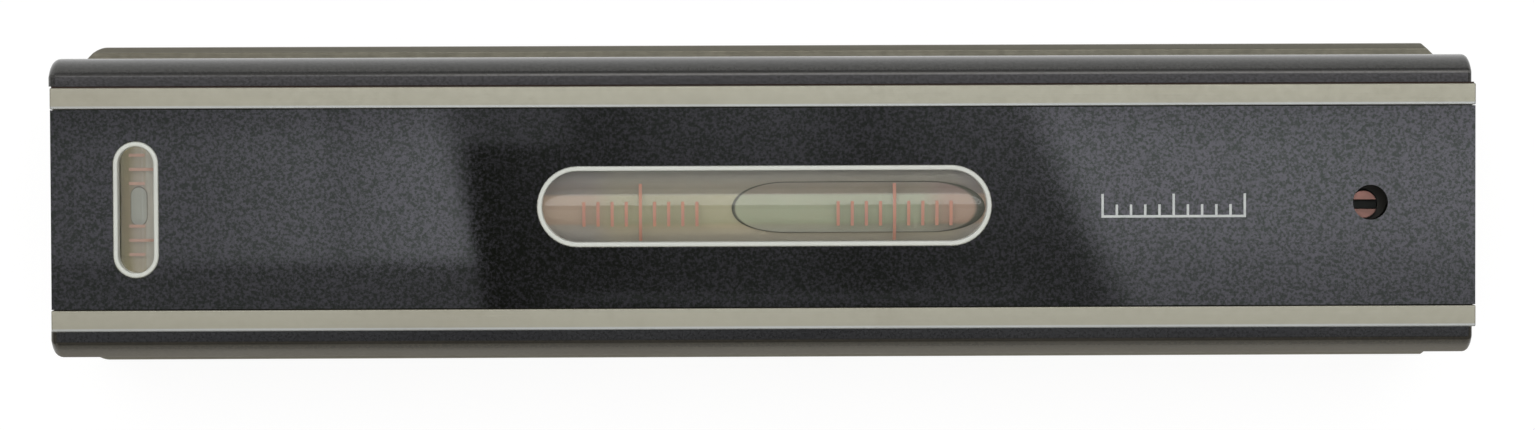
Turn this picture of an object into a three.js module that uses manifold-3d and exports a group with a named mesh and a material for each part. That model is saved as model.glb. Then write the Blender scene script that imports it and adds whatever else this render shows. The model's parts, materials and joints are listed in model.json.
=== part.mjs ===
// Precision spirit level, bar pattern, 200 mm. Millimetres, +Z up, +X along the bar.
// The origin lies under the middle of the ground base.

import * as THREE from 'three';
import { mergeVertices } from 'three/addons/utils/BufferGeometryUtils.js';
import Module from 'manifold-3d';

const wasm = await Module();
wasm.setup();

// Body casting
const bodyLength = 200;
const bodyHeight = 42;
const baseWidth = 45.8;
const flangeHeight = 12;
const flangeTopBevel = 0.8;
const cornerChamfer = 3;
const grooveWidth = 22;
const grooveDepth = 6.35;
const stripWidth = 3.1;
const pocketCorner = 3;
const pocketSideGap = 1.2;
const pocketFloorGap = 5.6;

// Cover, its bonding sheet and its windows
const coverWidth = 28;
const coverThickness = 2;
const coverRecess = 0.3;
const coverFitGap = 0.1;
const bondThickness = 0.3;
const bondInset = 0.5;
const windowLength = 63.9;
const windowWidth = 11.4;
const windowShift = 0.2;
const crossWindowLap = 1.9;
const crossWindowWidth = 6.4;
const frameWidth = 0.7;
const frameProud = 0.15;
const frameFitGap = 0.05;
const paneThickness = 1;
const paneOverlap = 2;
const accessHoleDiameter = 4.9;
const accessHoleOffset = 0.4;

// Side grips and their screws
const rearGripShift = 0.4;
const frontGripShift = 0.3;
const rearGripStandoff = 0.2;
const gripTopDrop = 0.8;
const gripTopWidth = 1.6;
const gripBulge = 3.9;
const gripFootWidth = 2.8;
const gripShoulderDrop = 5.8;
const gripEdgeAngle = 62;
const gripScrewInset = 22;
const gripScrewsPerSide = 3;
const gripScrewHeadDiameter = 6;
const gripScrewHeadHeight = 1.4;
const gripScrewSeat = 1.6;
const gripScrewDiameter = 3;
const gripScrewDepth = 4.5;
const gripScrewSlot = 0.8;

// Main vial
const vialCentreX = 0.5;
const vialLength = 86;
const vialDiameter = 13.8;
const vialWall = 1.3;
const vialPlugLength = 4;
const bubbleLength = 35;
const bubbleWidth = 7.7;
const bubbleDepth = 1.6;
const bubbleOffset = 12.4;

// Cross vial
const crossWindowInset = 11.9;
const crossVialInset = 2.5;
const crossVialDiameter = 8;
const crossVialWall = 0.9;
const crossPlugLength = 2;
const crossHeadroom = 0.6;
const crossBubbleLength = 4.8;
const crossBubbleWidth = 2.4;
const crossBubbleDepth = 0.9;
const crossBubbleOffset = 0.9;
const crossHolderWidth = 15.6;
const crossHolderPlate = 3;
const crossSaddleWidth = 9.6;
const crossSaddleFloor = 1.2;
const crossPocketGap = 0.6;
const holderScrewHeadDiameter = 2.6;
const holderScrewHeadHeight = 1.2;
const holderScrewDiameter = 1.6;
const holderScrewDepth = 5;

// Vial carrier: the slotted tube that tilts with the vial
const carrierWall = 0.8;
const carrierHeadroom = 0.9;
const carrierEndGap = 1;
const carrierPlugLength = 5;
const carrierSlotLength = 66;
const carrierSlotWidth = 12;
const packingThickness = 0.7;
const packingLength = 7;
const pivotReach = 4.5;
const pivotDiameter = 3;
const eyeWidth = 5.8;
const eyeRadius = 3.5;
const tongueWidth = 12;
const tongueThickness = 4;
const tongueEnd = 4.6;

// Pivot bracket
const bracketPlate = 3;
const earThickness = 2.8;
const earRadius = 4;
const bracketFoot = 9;
const bracketScrewPitch = 9;
const bracketScrewHeadDiameter = 4.4;
const bracketScrewHeadHeight = 2;
const bracketScrewDiameter = 2.4;
const bracketScrewDepth = 4;

// Adjusting screw, its retaining plate, nut, thrust bush and spring
const screwEndDistance = 15.2;
const headDepth = 4.3;
const headStand = 1.6;
const headDiameter = 4;
const headSlotWidth = 1.2;
const headSlotDepth = 1.1;
const collarDiameter = 6.6;
const collarThickness = 1.2;
const shankDiameter = 3;
const tongueDrop = 1.3;
const nutDiameter = 6.4;
const nutFlangeDiameter = 7.8;
const nutFlangeThickness = 0.8;
const bushDiameter = 8;
const bushHeight = 4;
const bushFloor = 0.8;
const plateThickness = 2;
const plateWidth = 14;
const plateReach = 4.2;
const plateLanding = 6;
const plateScrewPitch = 8;
const plateScrewHeadDiameter = 4;
const plateScrewHeadHeight = 1.4;
const plateScrewDiameter = 2.2;
const plateScrewDepth = 6;
const springMeanDiameter = 6;
const springWire = 0.8;
const springTurns = 5;

// Fits shared by the whole level
const slipGap = 0.1;
const runGap = 0.2;
const pocketEndGap = 1;
const threadGap = 0.2;
const cutOverrun = 1;
const driverSlotShare = 0.2;

// Facet counts
const tubeFacets = 32;
const smallFacets = 16;
const sightFacets = 32;
const springSides = 6;
const springStepsPerTurn = 12;
const arcSteps = 10;

// Places worked out from the sizes above
const halfLength = bodyLength / 2;
const topWidth = coverWidth + 2 * stripWidth;
const webFace = topWidth / 2;
const coverTopZ = bodyHeight - coverRecess;
const coverBottomZ = coverTopZ - coverThickness;
const ledgeZ = coverBottomZ - bondThickness;
const paneBottomZ = coverBottomZ - paneThickness;
const vialRadius = vialDiameter / 2;
const carrierBore = vialRadius + packingThickness + 2 * slipGap;
const carrierRadius = carrierBore + carrierWall;
const axisZ = paneBottomZ - carrierHeadroom - carrierRadius;
const floorZ = axisZ - carrierRadius - pocketFloorGap;
const pocketHalfWidth = carrierRadius + pocketSideGap;
const carrierHalfLength = vialLength / 2 + carrierEndGap + carrierPlugLength;
const pivotX = vialCentreX - carrierHalfLength - pivotReach;
const screwX = halfLength - screwEndDistance;
const mainPocketLeft = pivotX - earRadius - bracketFoot - pocketEndGap;
const mainPocketRight = screwX + tongueEnd + pocketEndGap;
const headTopZ = coverTopZ - headDepth;
const plateTopZ = headTopZ - headStand;
const shelfZ = plateTopZ - plateThickness;
const plateLeft = screwX - plateReach;
const plateRight = mainPocketRight + plateLanding;
const plateScrewX = mainPocketRight + plateLanding / 2;
const collarTopZ = shelfZ - runGap;
const collarBottomZ = collarTopZ - collarThickness;
const tongueTopZ = collarBottomZ - tongueDrop;
const tongueBottomZ = tongueTopZ - tongueThickness;
const bushTopZ = floorZ + bushHeight;
const crossX = crossWindowInset - halfLength;
const crossVialLength = coverWidth - 2 * crossVialInset;
const crossWindowLength = crossVialLength - 2 * crossWindowLap;
const crossRadius = crossVialDiameter / 2;
const crossAxisZ = paneBottomZ - crossHeadroom - crossRadius;
const saddleFloorZ = crossAxisZ - crossRadius - slipGap - crossSaddleFloor;
const crossFloorZ = saddleFloorZ - crossHolderPlate;
const crossPocketHalfX = crossHolderWidth / 2 + crossPocketGap;
const crossPocketHalfY = crossVialLength / 2 + crossPocketGap;
const holderScrewX = (crossHolderWidth + crossSaddleWidth) / 4;
const gripScrewPitch = (bodyLength - 2 * gripScrewInset) / (gripScrewsPerSide - 1);
const gripTopZ = bodyHeight - gripTopDrop;
const gripMiddleZ = (flangeHeight + gripTopZ) / 2;
const bracketScrewX = pivotX - earRadius - bracketFoot / 2;

// Finishes
const finish = (color, roughness, metalness) =>
  new THREE.MeshStandardMaterial({ color, roughness, metalness });
const castIron = finish(0x9a9484, 0.45, 0.7);
const blackCover = finish(0x26272a, 0.4, 0.1);
const blackPlastic = finish(0x2a2829, 0.45, 0);
const whiteFrame = finish(0xdfe1d6, 0.4, 0);
const clearPlastic = finish(0xc9ccc4, 0.1, 0);
const clearGlass = finish(0xb9bfae, 0.05, 0);
const spirit = finish(0xa8b096, 0.05, 0);
const air = finish(0xd4dacb, 0.05, 0);
const steel = finish(0x8e8f8c, 0.35, 1);
const brass = finish(0xb08d4f, 0.35, 1);
const copper = finish(0xb07a66, 0.4, 1);
const rubber = finish(0x6b6656, 0.8, 0);

// Solids

function toSolid(geometry) {
  const bare = geometry.index ? geometry.toNonIndexed() : geometry.clone();
  bare.deleteAttribute('normal');
  bare.deleteAttribute('uv');
  const merged = mergeVertices(bare);
  return new wasm.Manifold(new wasm.Mesh({
    numProp: 3,
    vertProperties: new Float32Array(merged.attributes.position.array),
    triVerts: new Uint32Array(merged.index.array),
  }));
}

function toGeometry(solid) {
  const mesh = solid.getMesh();
  const geometry = new THREE.BufferGeometry();
  geometry.setAttribute('position', new THREE.BufferAttribute(mesh.vertProperties, 3));
  geometry.setIndex(new THREE.BufferAttribute(mesh.triVerts, 1));
  geometry.computeVertexNormals();
  return geometry;
}

function cut(base, tools) {
  return tools.reduce((solid, tool) => solid.subtract(toSolid(tool)), base);
}

function piece(name, shape, material) {
  const geometry = shape instanceof THREE.BufferGeometry ? shape : toGeometry(shape);
  const mesh = new THREE.Mesh(geometry, material);
  mesh.name = name;
  return mesh;
}

// Basic geometry

function block(x0, x1, y0, y1, z0, z1) {
  const geometry = new THREE.BoxGeometry(x1 - x0, y1 - y0, z1 - z0);
  return geometry.translate((x0 + x1) / 2, (y0 + y1) / 2, (z0 + z1) / 2);
}

function plate(shape, z0, z1) {
  const geometry = new THREE.ExtrudeGeometry(shape, {
    depth: z1 - z0,
    bevelEnabled: false,
    curveSegments: arcSteps,
  });
  return geometry.translate(0, 0, z0);
}

// Extrudes an outline drawn in Y and Z along X.
function bar(shape, x0, x1) {
  const geometry = new THREE.ExtrudeGeometry(shape, {
    depth: x1 - x0,
    bevelEnabled: false,
    curveSegments: arcSteps,
  });
  geometry.rotateY(Math.PI / 2);
  geometry.rotateX(Math.PI / 2);
  return geometry.translate(x0, 0, 0);
}

// Turns a profile of [radius, height] points about the Z axis.
function turned(profile, facets) {
  const points = profile.map(([radius, height]) => new THREE.Vector2(radius, height));
  return new THREE.LatheGeometry(points, facets).rotateX(Math.PI / 2);
}

function rodZ(radius, z0, z1, x, y, facets) {
  const geometry = turned([[0, z0], [radius, z0], [radius, z1], [0, z1]], facets);
  return geometry.translate(x, y, 0);
}

function rodY(radius, y0, y1, x, z, facets) {
  const geometry = turned([[0, y0], [radius, y0], [radius, y1], [0, y1]], facets);
  return geometry.rotateX(-Math.PI / 2).translate(x, 0, z);
}

function rodX(radius, x0, x1, facets) {
  const geometry = turned([[0, x0], [radius, x0], [radius, x1], [0, x1]], facets);
  return geometry.rotateY(Math.PI / 2);
}

function ringX(inner, outer, x0, x1, facets) {
  const profile = [[inner, x0], [outer, x0], [outer, x1], [inner, x1], [inner, x0]];
  return turned(profile, facets).rotateY(Math.PI / 2);
}

// Outlines

function rectangle(x0, x1, y0, y1) {
  const shape = new THREE.Shape();
  shape.moveTo(x0, y0);
  shape.lineTo(x1, y0);
  shape.lineTo(x1, y1);
  shape.lineTo(x0, y1);
  shape.closePath();
  return shape;
}

function roundedRectangle(x0, x1, y0, y1, corner) {
  const radius = Math.min(corner, (x1 - x0) / 2, (y1 - y0) / 2);
  const shape = new THREE.Shape();
  shape.absarc(x1 - radius, y0 + radius, radius, -Math.PI / 2, 0, false);
  shape.absarc(x1 - radius, y1 - radius, radius, 0, Math.PI / 2, false);
  shape.absarc(x0 + radius, y1 - radius, radius, Math.PI / 2, Math.PI, false);
  shape.absarc(x0 + radius, y0 + radius, radius, Math.PI, Math.PI * 3 / 2, false);
  shape.closePath();
  return shape;
}

// A slot with round ends, length along X, about a centre.
function slot(length, width, x, y) {
  const radius = width / 2;
  const reach = length / 2 - radius;
  const shape = new THREE.Shape();
  shape.absarc(x + reach, y, radius, -Math.PI / 2, Math.PI / 2, false);
  shape.absarc(x - reach, y, radius, Math.PI / 2, Math.PI * 3 / 2, false);
  shape.closePath();
  return shape;
}

// The same slot with its length along Y.
function crossSlot(length, width, x, y) {
  const radius = width / 2;
  const reach = length / 2 - radius;
  const shape = new THREE.Shape();
  shape.absarc(x, y + reach, radius, 0, Math.PI, false);
  shape.absarc(x, y - reach, radius, Math.PI, Math.PI * 2, false);
  shape.closePath();
  return shape;
}

// A plain screw along Z: its shank hangs below the seat and its slotted head stands on it.
function slottedScrew(headDiameter, headHeight, shankDiameter, shankLength, slotWidth) {
  const head = headDiameter / 2;
  const shank = shankDiameter / 2;
  const profile = [
    [0, -shankLength],
    [shank, -shankLength],
    [shank, 0],
    [head, 0],
    [head, headHeight],
    [0, headHeight],
  ];
  const slotFloor = headHeight / 2;
  const driverSlot = block(
    -headDiameter, headDiameter, -slotWidth / 2, slotWidth / 2, slotFloor, headHeight + cutOverrun);
  return cut(toSolid(turned(profile, smallFacets)), [driverSlot]);
}

// Body casting

function bodyOutline() {
  const half = baseWidth / 2;
  const channelHalf = coverWidth / 2 + coverFitGap;
  const shape = new THREE.Shape();
  shape.moveTo(-half, 0);
  shape.lineTo(-grooveWidth / 2, 0);
  shape.lineTo(0, grooveDepth);
  shape.lineTo(grooveWidth / 2, 0);
  shape.lineTo(half, 0);
  shape.lineTo(half, flangeHeight - flangeTopBevel);
  shape.lineTo(half - flangeTopBevel, flangeHeight);
  shape.lineTo(webFace, flangeHeight);
  shape.lineTo(webFace, bodyHeight);
  shape.lineTo(channelHalf, bodyHeight);
  shape.lineTo(channelHalf, ledgeZ);
  shape.lineTo(-channelHalf, ledgeZ);
  shape.lineTo(-channelHalf, bodyHeight);
  shape.lineTo(-webFace, bodyHeight);
  shape.lineTo(-webFace, flangeHeight);
  shape.lineTo(-half + flangeTopBevel, flangeHeight);
  shape.lineTo(-half, flangeHeight - flangeTopBevel);
  shape.closePath();
  return shape;
}

// The bar seen from above, with its four corners cut at 45 degrees.
function bodyPlan() {
  const half = baseWidth / 2;
  const cornerX = halfLength - cornerChamfer;
  const cornerY = half - cornerChamfer;
  const shape = new THREE.Shape();
  shape.moveTo(-cornerX, -half);
  shape.lineTo(cornerX, -half);
  shape.lineTo(halfLength, -cornerY);
  shape.lineTo(halfLength, cornerY);
  shape.lineTo(cornerX, half);
  shape.lineTo(-cornerX, half);
  shape.lineTo(-halfLength, cornerY);
  shape.lineTo(-halfLength, -cornerY);
  shape.closePath();
  return shape;
}

function mainPocket() {
  return roundedRectangle(
    mainPocketLeft, mainPocketRight, -pocketHalfWidth, pocketHalfWidth, pocketCorner);
}

function crossPocket() {
  return roundedRectangle(
    crossX - crossPocketHalfX, crossX + crossPocketHalfX, -crossPocketHalfY, crossPocketHalfY,
    pocketCorner);
}

function plateRecess() {
  const half = plateWidth / 2 + slipGap;
  return rectangle(mainPocketRight - cutOverrun, plateRight + slipGap, -half, half);
}

function gripScrewPlaces() {
  const places = [];
  for (let i = 0; i < gripScrewsPerSide; i += 1) {
    places.push((i - (gripScrewsPerSide - 1) / 2) * gripScrewPitch);
  }
  return places;
}

// A blind hole down from a face, a little deeper than the screw that goes in it.
function threadedHole(diameter, depth, faceZ, x, y) {
  const radius = diameter / 2 + threadGap;
  const bottom = faceZ - depth - pocketEndGap;
  return rodZ(radius, bottom, faceZ + cutOverrun, x, y, smallFacets);
}

function bodyScrewHoles() {
  const holes = [];
  const gripHole = gripScrewDiameter / 2 + threadGap;
  for (const x of gripScrewPlaces()) {
    const bottom = webFace - gripScrewDepth - pocketEndGap;
    holes.push(rodY(gripHole, bottom, webFace + cutOverrun, x, gripMiddleZ, smallFacets));
    holes.push(rodY(gripHole, -webFace - cutOverrun, -bottom, x, gripMiddleZ, smallFacets));
  }
  for (const side of [-1, 1]) {
    const bracketY = side * bracketScrewPitch / 2;
    holes.push(threadedHole(
      bracketScrewDiameter, bracketScrewDepth, floorZ, bracketScrewX, bracketY));
    const plateY = side * plateScrewPitch / 2;
    holes.push(threadedHole(plateScrewDiameter, plateScrewDepth, shelfZ, plateScrewX, plateY));
    const holderX = crossX + side * holderScrewX;
    holes.push(threadedHole(holderScrewDiameter, holderScrewDepth, crossFloorZ, holderX, 0));
  }
  return holes;
}

function bodyCasting() {
  const section = toSolid(bar(bodyOutline(), -halfLength, halfLength));
  const plan = toSolid(plate(bodyPlan(), 0, bodyHeight));
  const bored = cut(section.intersect(plan), [
    plate(mainPocket(), floorZ, bodyHeight + cutOverrun),
    plate(crossPocket(), crossFloorZ, bodyHeight + cutOverrun),
    plate(plateRecess(), shelfZ, bodyHeight + cutOverrun),
    ...bodyScrewHoles(),
  ]);
  return piece('body_casting', bored, castIron);
}

// Cover and windows

function topCover() {
  const half = coverWidth / 2;
  const under = coverBottomZ - cutOverrun;
  const over = coverTopZ + cutOverrun;
  const blank = toSolid(block(-halfLength, halfLength, -half, half, coverBottomZ, coverTopZ));
  const holeRadius = accessHoleDiameter / 2;
  return piece('top_cover', cut(blank, [
    plate(slot(windowLength, windowWidth, 0, windowShift), under, over),
    plate(crossSlot(crossWindowLength, crossWindowWidth, crossX, 0), under, over),
    rodZ(holeRadius, under, over, screwX + accessHoleOffset, accessHoleOffset, sightFacets),
  ]), blackCover);
}

function coverBondSheet() {
  const half = coverWidth / 2 - bondInset;
  const end = halfLength - bondInset;
  const margin = bondInset;
  const low = ledgeZ - cutOverrun;
  const high = coverBottomZ + cutOverrun;
  const openings = [
    rectangle(
      mainPocketLeft - margin, plateRight + margin, -pocketHalfWidth - margin,
      pocketHalfWidth + margin),
    rectangle(
      crossX - crossPocketHalfX - margin, crossX + crossPocketHalfX + margin,
      -crossPocketHalfY - margin, crossPocketHalfY + margin),
  ];
  const blank = toSolid(block(-end, end, -half, half, ledgeZ, coverBottomZ));
  return piece('cover_bond_sheet', cut(blank, openings.map((o) => plate(o, low, high))), rubber);
}

function windowFrame(name, outline, length, width, x, y) {
  const outer = outline(length - 2 * frameFitGap, width - 2 * frameFitGap, x, y);
  const inner = outline(length - 2 * frameWidth, width - 2 * frameWidth, x, y);
  const ring = cut(toSolid(plate(outer, coverBottomZ, coverTopZ + frameProud)), [
    plate(inner, coverBottomZ - cutOverrun, coverTopZ + frameProud + cutOverrun),
  ]);
  return piece(name, ring, whiteFrame);
}

function windowPane(name, outline, length, width, x, y) {
  const grown = outline(length + 2 * paneOverlap, width + 2 * paneOverlap, x, y);
  return piece(name, plate(grown, paneBottomZ, coverBottomZ), clearPlastic);
}

// Side grips

function gripOutline(side, face) {
  const edge = THREE.MathUtils.degToRad(gripEdgeAngle);
  const semiHeight = gripShoulderDrop / Math.sin(edge);
  const semiWidth = (gripBulge - gripTopWidth) / (1 - Math.cos(edge));
  const shoulderZ = gripTopZ - gripShoulderDrop;
  const centreY = face + gripBulge - semiWidth;
  const shape = new THREE.Shape();
  shape.moveTo(side * face, flangeHeight);
  shape.lineTo(side * (face + gripFootWidth), flangeHeight);
  shape.quadraticCurveTo(
    side * (face + gripBulge), gripMiddleZ, side * (face + gripBulge), shoulderZ);
  for (let i = 1; i <= arcSteps; i += 1) {
    const turn = edge * i / arcSteps;
    const y = centreY + semiWidth * Math.cos(turn);
    shape.lineTo(side * y, shoulderZ + semiHeight * Math.sin(turn));
  }
  shape.lineTo(side * face, gripTopZ);
  shape.closePath();
  return shape;
}

function sideGrip(name, side, shift, standoff) {
  const outline = gripOutline(side, webFace + standoff);
  const blank = toSolid(bar(outline, -halfLength - shift, halfLength - shift));
  const seat = webFace + gripScrewSeat;
  const outside = webFace + standoff + gripBulge + cutOverrun;
  const headHole = gripScrewHeadDiameter / 2 + runGap;
  const shankHole = gripScrewDiameter / 2 + runGap;
  const holes = gripScrewPlaces().flatMap((x) => {
    const [headLow, headHigh] = side > 0 ? [seat, outside] : [-outside, -seat];
    const [shankLow, shankHigh] = side > 0
      ? [webFace - cutOverrun, seat + cutOverrun]
      : [-seat - cutOverrun, cutOverrun - webFace];
    return [
      rodY(headHole, headLow, headHigh, x, gripMiddleZ, smallFacets),
      rodY(shankHole, shankLow, shankHigh, x, gripMiddleZ, smallFacets),
    ];
  });
  return piece(name, cut(blank, holes), blackPlastic);
}

function gripScrews(label, side) {
  return gripScrewPlaces().map((x, index) => {
    const solid = slottedScrew(
      gripScrewHeadDiameter, gripScrewHeadHeight, gripScrewDiameter,
      gripScrewSeat + gripScrewDepth, gripScrewSlot);
    const screw = piece(`${label}_grip_screw_${index + 1}`, solid, steel);
    screw.rotation.x = -side * Math.PI / 2;
    screw.position.set(x, side * (webFace + gripScrewSeat), gripMiddleZ);
    return screw;
  });
}

// Vials. Each is built along its own X axis, with its axis at the group's origin.

const mainVial = {
  label: 'main_vial',
  length: vialLength,
  radius: vialRadius,
  bore: vialRadius - vialWall,
  plugLength: vialPlugLength,
  bubbleLength,
  bubbleWidth,
  bubbleDepth,
  bubbleAt: bubbleOffset,
};

const crossVial = {
  label: 'cross_vial',
  length: crossVialLength,
  radius: crossRadius,
  bore: crossRadius - crossVialWall,
  plugLength: crossPlugLength,
  bubbleLength: crossBubbleLength,
  bubbleWidth: crossBubbleWidth,
  bubbleDepth: crossBubbleDepth,
  bubbleAt: crossBubbleOffset,
};

function vialGlass(vial) {
  const end = vial.length / 2;
  const tube = ringX(vial.bore, vial.radius, -end, end, tubeFacets);
  return piece(`${vial.label}_glass`, tube, clearGlass);
}

function vialPlug(vial, side, sideName) {
  const outer = vial.length / 2;
  const inner = outer - vial.plugLength;
  const [low, high] = side > 0 ? [inner, outer] : [-outer, -inner];
  const disc = rodX(vial.bore - slipGap, low, high, tubeFacets);
  return piece(`${vial.label}_plug_${sideName}`, disc, clearGlass);
}

// The spirit fills the bore up to the level of the bubble's underside.
function vialLiquid(vial) {
  const end = vial.length / 2 - vial.plugLength - slipGap;
  const column = toSolid(rodX(vial.bore - slipGap, -end, end, tubeFacets));
  const half = vial.bubbleWidth / 2 + runGap;
  const channelFloor = vial.bore - vial.bubbleDepth - runGap;
  const channel = block(
    -end - cutOverrun, end + cutOverrun, -half, half, channelFloor, vial.bore + cutOverrun);
  return piece(`${vial.label}_liquid`, cut(column, [channel]), spirit);
}

function vialBubble(vial) {
  const outline = slot(vial.bubbleLength, vial.bubbleWidth, vial.bubbleAt, 0);
  const lens = toSolid(plate(outline, vial.bore - vial.bubbleDepth, vial.bore));
  const end = vial.length / 2;
  const room = toSolid(rodX(vial.bore - slipGap, -end, end, tubeFacets));
  return piece(`${vial.label}_bubble`, lens.intersect(room), air);
}

function vialPieces(vial, endNames) {
  return [
    vialGlass(vial),
    vialPlug(vial, -1, endNames[0]),
    vialPlug(vial, 1, endNames[1]),
    vialLiquid(vial),
    vialBubble(vial),
  ];
}

// Vial carrier, in the main vial's group

function carrierTube() {
  const tube = toSolid(
    ringX(carrierBore, carrierRadius, -carrierHalfLength, carrierHalfLength, tubeFacets));
  const sight = plate(
    slot(carrierSlotLength, carrierSlotWidth, 0, 0), 0, carrierRadius + cutOverrun);
  return piece('carrier_tube', cut(tube, [sight]), steel);
}

function vialPacking(side, sideName) {
  const outer = vialLength / 2 - slipGap;
  const inner = outer - packingLength;
  const [low, high] = side > 0 ? [inner, outer] : [-outer, -inner];
  const ring = ringX(vialRadius + slipGap, carrierBore - slipGap, low, high, tubeFacets);
  return piece(`vial_packing_${sideName}`, ring, rubber);
}

function carrierPivotEnd() {
  const face = -carrierHalfLength;
  const plug = toSolid(rodX(carrierBore - slipGap, face, face + carrierPlugLength, tubeFacets));
  const eyeX = face - pivotReach;
  const arm = block(
    eyeX, face + carrierPlugLength / 2, -eyeWidth / 2, eyeWidth / 2, -eyeRadius, eyeRadius);
  const eye = rodY(eyeRadius, -eyeWidth / 2, eyeWidth / 2, eyeX, 0, smallFacets);
  const bore = rodY(pivotDiameter / 2 + runGap, -eyeWidth, eyeWidth, eyeX, 0, smallFacets);
  const joined = plug.add(toSolid(arm)).add(toSolid(eye));
  return piece('carrier_pivot_end', cut(joined, [bore]), steel);
}

function carrierTongue() {
  const face = carrierHalfLength;
  const nutX = screwX - vialCentreX;
  const top = tongueTopZ - axisZ;
  const bottom = tongueBottomZ - axisZ;
  const plug = toSolid(rodX(carrierBore - slipGap, face - carrierPlugLength, face, tubeFacets));
  const half = tongueWidth / 2;
  const blade = toSolid(block(face - carrierPlugLength / 2, nutX + tongueEnd, -half, half, bottom, top));
  const hole = rodZ(
    nutDiameter / 2 + slipGap, bottom - cutOverrun, top + cutOverrun, nutX, 0, smallFacets);
  return piece('carrier_tongue', cut(plug.add(blade), [hole]), steel);
}

function tongueNut() {
  const bore = shankDiameter / 2 + threadGap;
  const body = nutDiameter / 2;
  const flange = nutFlangeDiameter / 2;
  const profile = [
    [bore, tongueBottomZ - nutFlangeThickness],
    [flange, tongueBottomZ - nutFlangeThickness],
    [flange, tongueBottomZ],
    [body, tongueBottomZ],
    [body, tongueTopZ],
    [bore, tongueTopZ],
    [bore, tongueBottomZ - nutFlangeThickness],
  ];
  const nut = piece('tongue_nut', turned(profile, smallFacets), brass);
  nut.position.set(screwX, 0, 0);
  return nut;
}

// Pivot bracket and pin

function pivotBracket() {
  const plateHalf = pocketHalfWidth - slipGap;
  const plateTop = floorZ + bracketPlate;
  const left = pivotX - earRadius - bracketFoot;
  const earInner = eyeWidth / 2 + runGap;
  const foot = roundedRectangle(left, pivotX + earRadius, -plateHalf, plateHalf, pocketCorner);
  const base = toSolid(plate(foot, floorZ, plateTop));
  const ears = [-1, 1].flatMap((side) => {
    const [low, high] = side > 0
      ? [earInner, earInner + earThickness]
      : [-earInner - earThickness, -earInner];
    return [
      block(pivotX - earRadius, pivotX + earRadius, low, high, floorZ, axisZ),
      rodY(earRadius, low, high, pivotX, axisZ, smallFacets),
    ];
  });
  const solid = ears.reduce((sum, ear) => sum.add(toSolid(ear)), base);
  const reach = earInner + earThickness + cutOverrun;
  const holes = [rodY(pivotDiameter / 2 + slipGap, -reach, reach, pivotX, axisZ, smallFacets)];
  for (const side of [-1, 1]) {
    holes.push(rodZ(
      bracketScrewDiameter / 2 + runGap, floorZ - cutOverrun, plateTop + cutOverrun, bracketScrewX,
      side * bracketScrewPitch / 2, smallFacets));
  }
  return piece('pivot_bracket', cut(solid, holes), steel);
}

function pivotPin() {
  const half = eyeWidth / 2 + runGap + earThickness;
  return piece('pivot_pin', rodY(pivotDiameter / 2, -half, half, pivotX, axisZ, smallFacets), steel);
}

function bracketScrews() {
  return [-1, 1].map((side) => {
    const solid = slottedScrew(
      bracketScrewHeadDiameter, bracketScrewHeadHeight, bracketScrewDiameter,
      bracketPlate + bracketScrewDepth, bracketScrewHeadDiameter * driverSlotShare);
    const screw = piece(`bracket_screw_${side > 0 ? 'rear' : 'front'}`, solid, steel);
    screw.position.set(bracketScrewX, side * bracketScrewPitch / 2, floorZ + bracketPlate);
    return screw;
  });
}

// Adjuster

function adjustingScrew() {
  const shank = shankDiameter / 2;
  const collar = collarDiameter / 2;
  const head = headDiameter / 2;
  const tipZ = floorZ + bushFloor + slipGap;
  const profile = [
    [0, tipZ],
    [shank, tipZ],
    [shank, collarBottomZ],
    [collar, collarBottomZ],
    [collar, collarTopZ],
    [head, collarTopZ],
    [head, headTopZ],
    [0, headTopZ],
  ];
  const driverSlot = block(
    -headDiameter, headDiameter, -headSlotWidth / 2, headSlotWidth / 2, headTopZ - headSlotDepth,
    headTopZ + cutOverrun);
  const screw = piece(
    'adjusting_screw', cut(toSolid(turned(profile, sightFacets)), [driverSlot]), copper);
  screw.position.set(screwX, 0, 0);
  return screw;
}

function retainingPlate() {
  const half = plateWidth / 2;
  const outline = roundedRectangle(plateLeft, plateRight, -half, half, pocketCorner / 2);
  const under = shelfZ - cutOverrun;
  const over = plateTopZ + cutOverrun;
  const holes = [rodZ(headDiameter / 2 + runGap, under, over, screwX, 0, smallFacets)];
  for (const side of [-1, 1]) {
    const y = side * plateScrewPitch / 2;
    holes.push(rodZ(plateScrewDiameter / 2 + runGap, under, over, plateScrewX, y, smallFacets));
  }
  return piece('screw_retaining_plate', cut(toSolid(plate(outline, shelfZ, plateTopZ)), holes), steel);
}

function retainingPlateScrews() {
  return [-1, 1].map((side) => {
    const solid = slottedScrew(
      plateScrewHeadDiameter, plateScrewHeadHeight, plateScrewDiameter,
      plateThickness + plateScrewDepth, plateScrewHeadDiameter * driverSlotShare);
    const screw = piece(`plate_screw_${side > 0 ? 'rear' : 'front'}`, solid, steel);
    screw.position.set(plateScrewX, side * plateScrewPitch / 2, plateTopZ);
    return screw;
  });
}

function thrustBush() {
  const bore = shankDiameter / 2 + runGap;
  const outer = bushDiameter / 2;
  const boreFloor = floorZ + bushFloor;
  const profile = [
    [0, floorZ],
    [outer, floorZ],
    [outer, bushTopZ],
    [bore, bushTopZ],
    [bore, boreFloor],
    [0, boreFloor],
  ];
  const bush = piece('thrust_bush', turned(profile, smallFacets), brass);
  bush.position.set(screwX, 0, 0);
  return bush;
}

class SpringPath extends THREE.Curve {
  constructor(radius, bottom, top, turns) {
    super();
    this.radius = radius;
    this.bottom = bottom;
    this.top = top;
    this.turns = turns;
  }

  getPoint(t) {
    const turn = t * this.turns * Math.PI * 2;
    const height = this.bottom + (this.top - this.bottom) * t;
    return new THREE.Vector3(this.radius * Math.cos(turn), this.radius * Math.sin(turn), height);
  }
}

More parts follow.
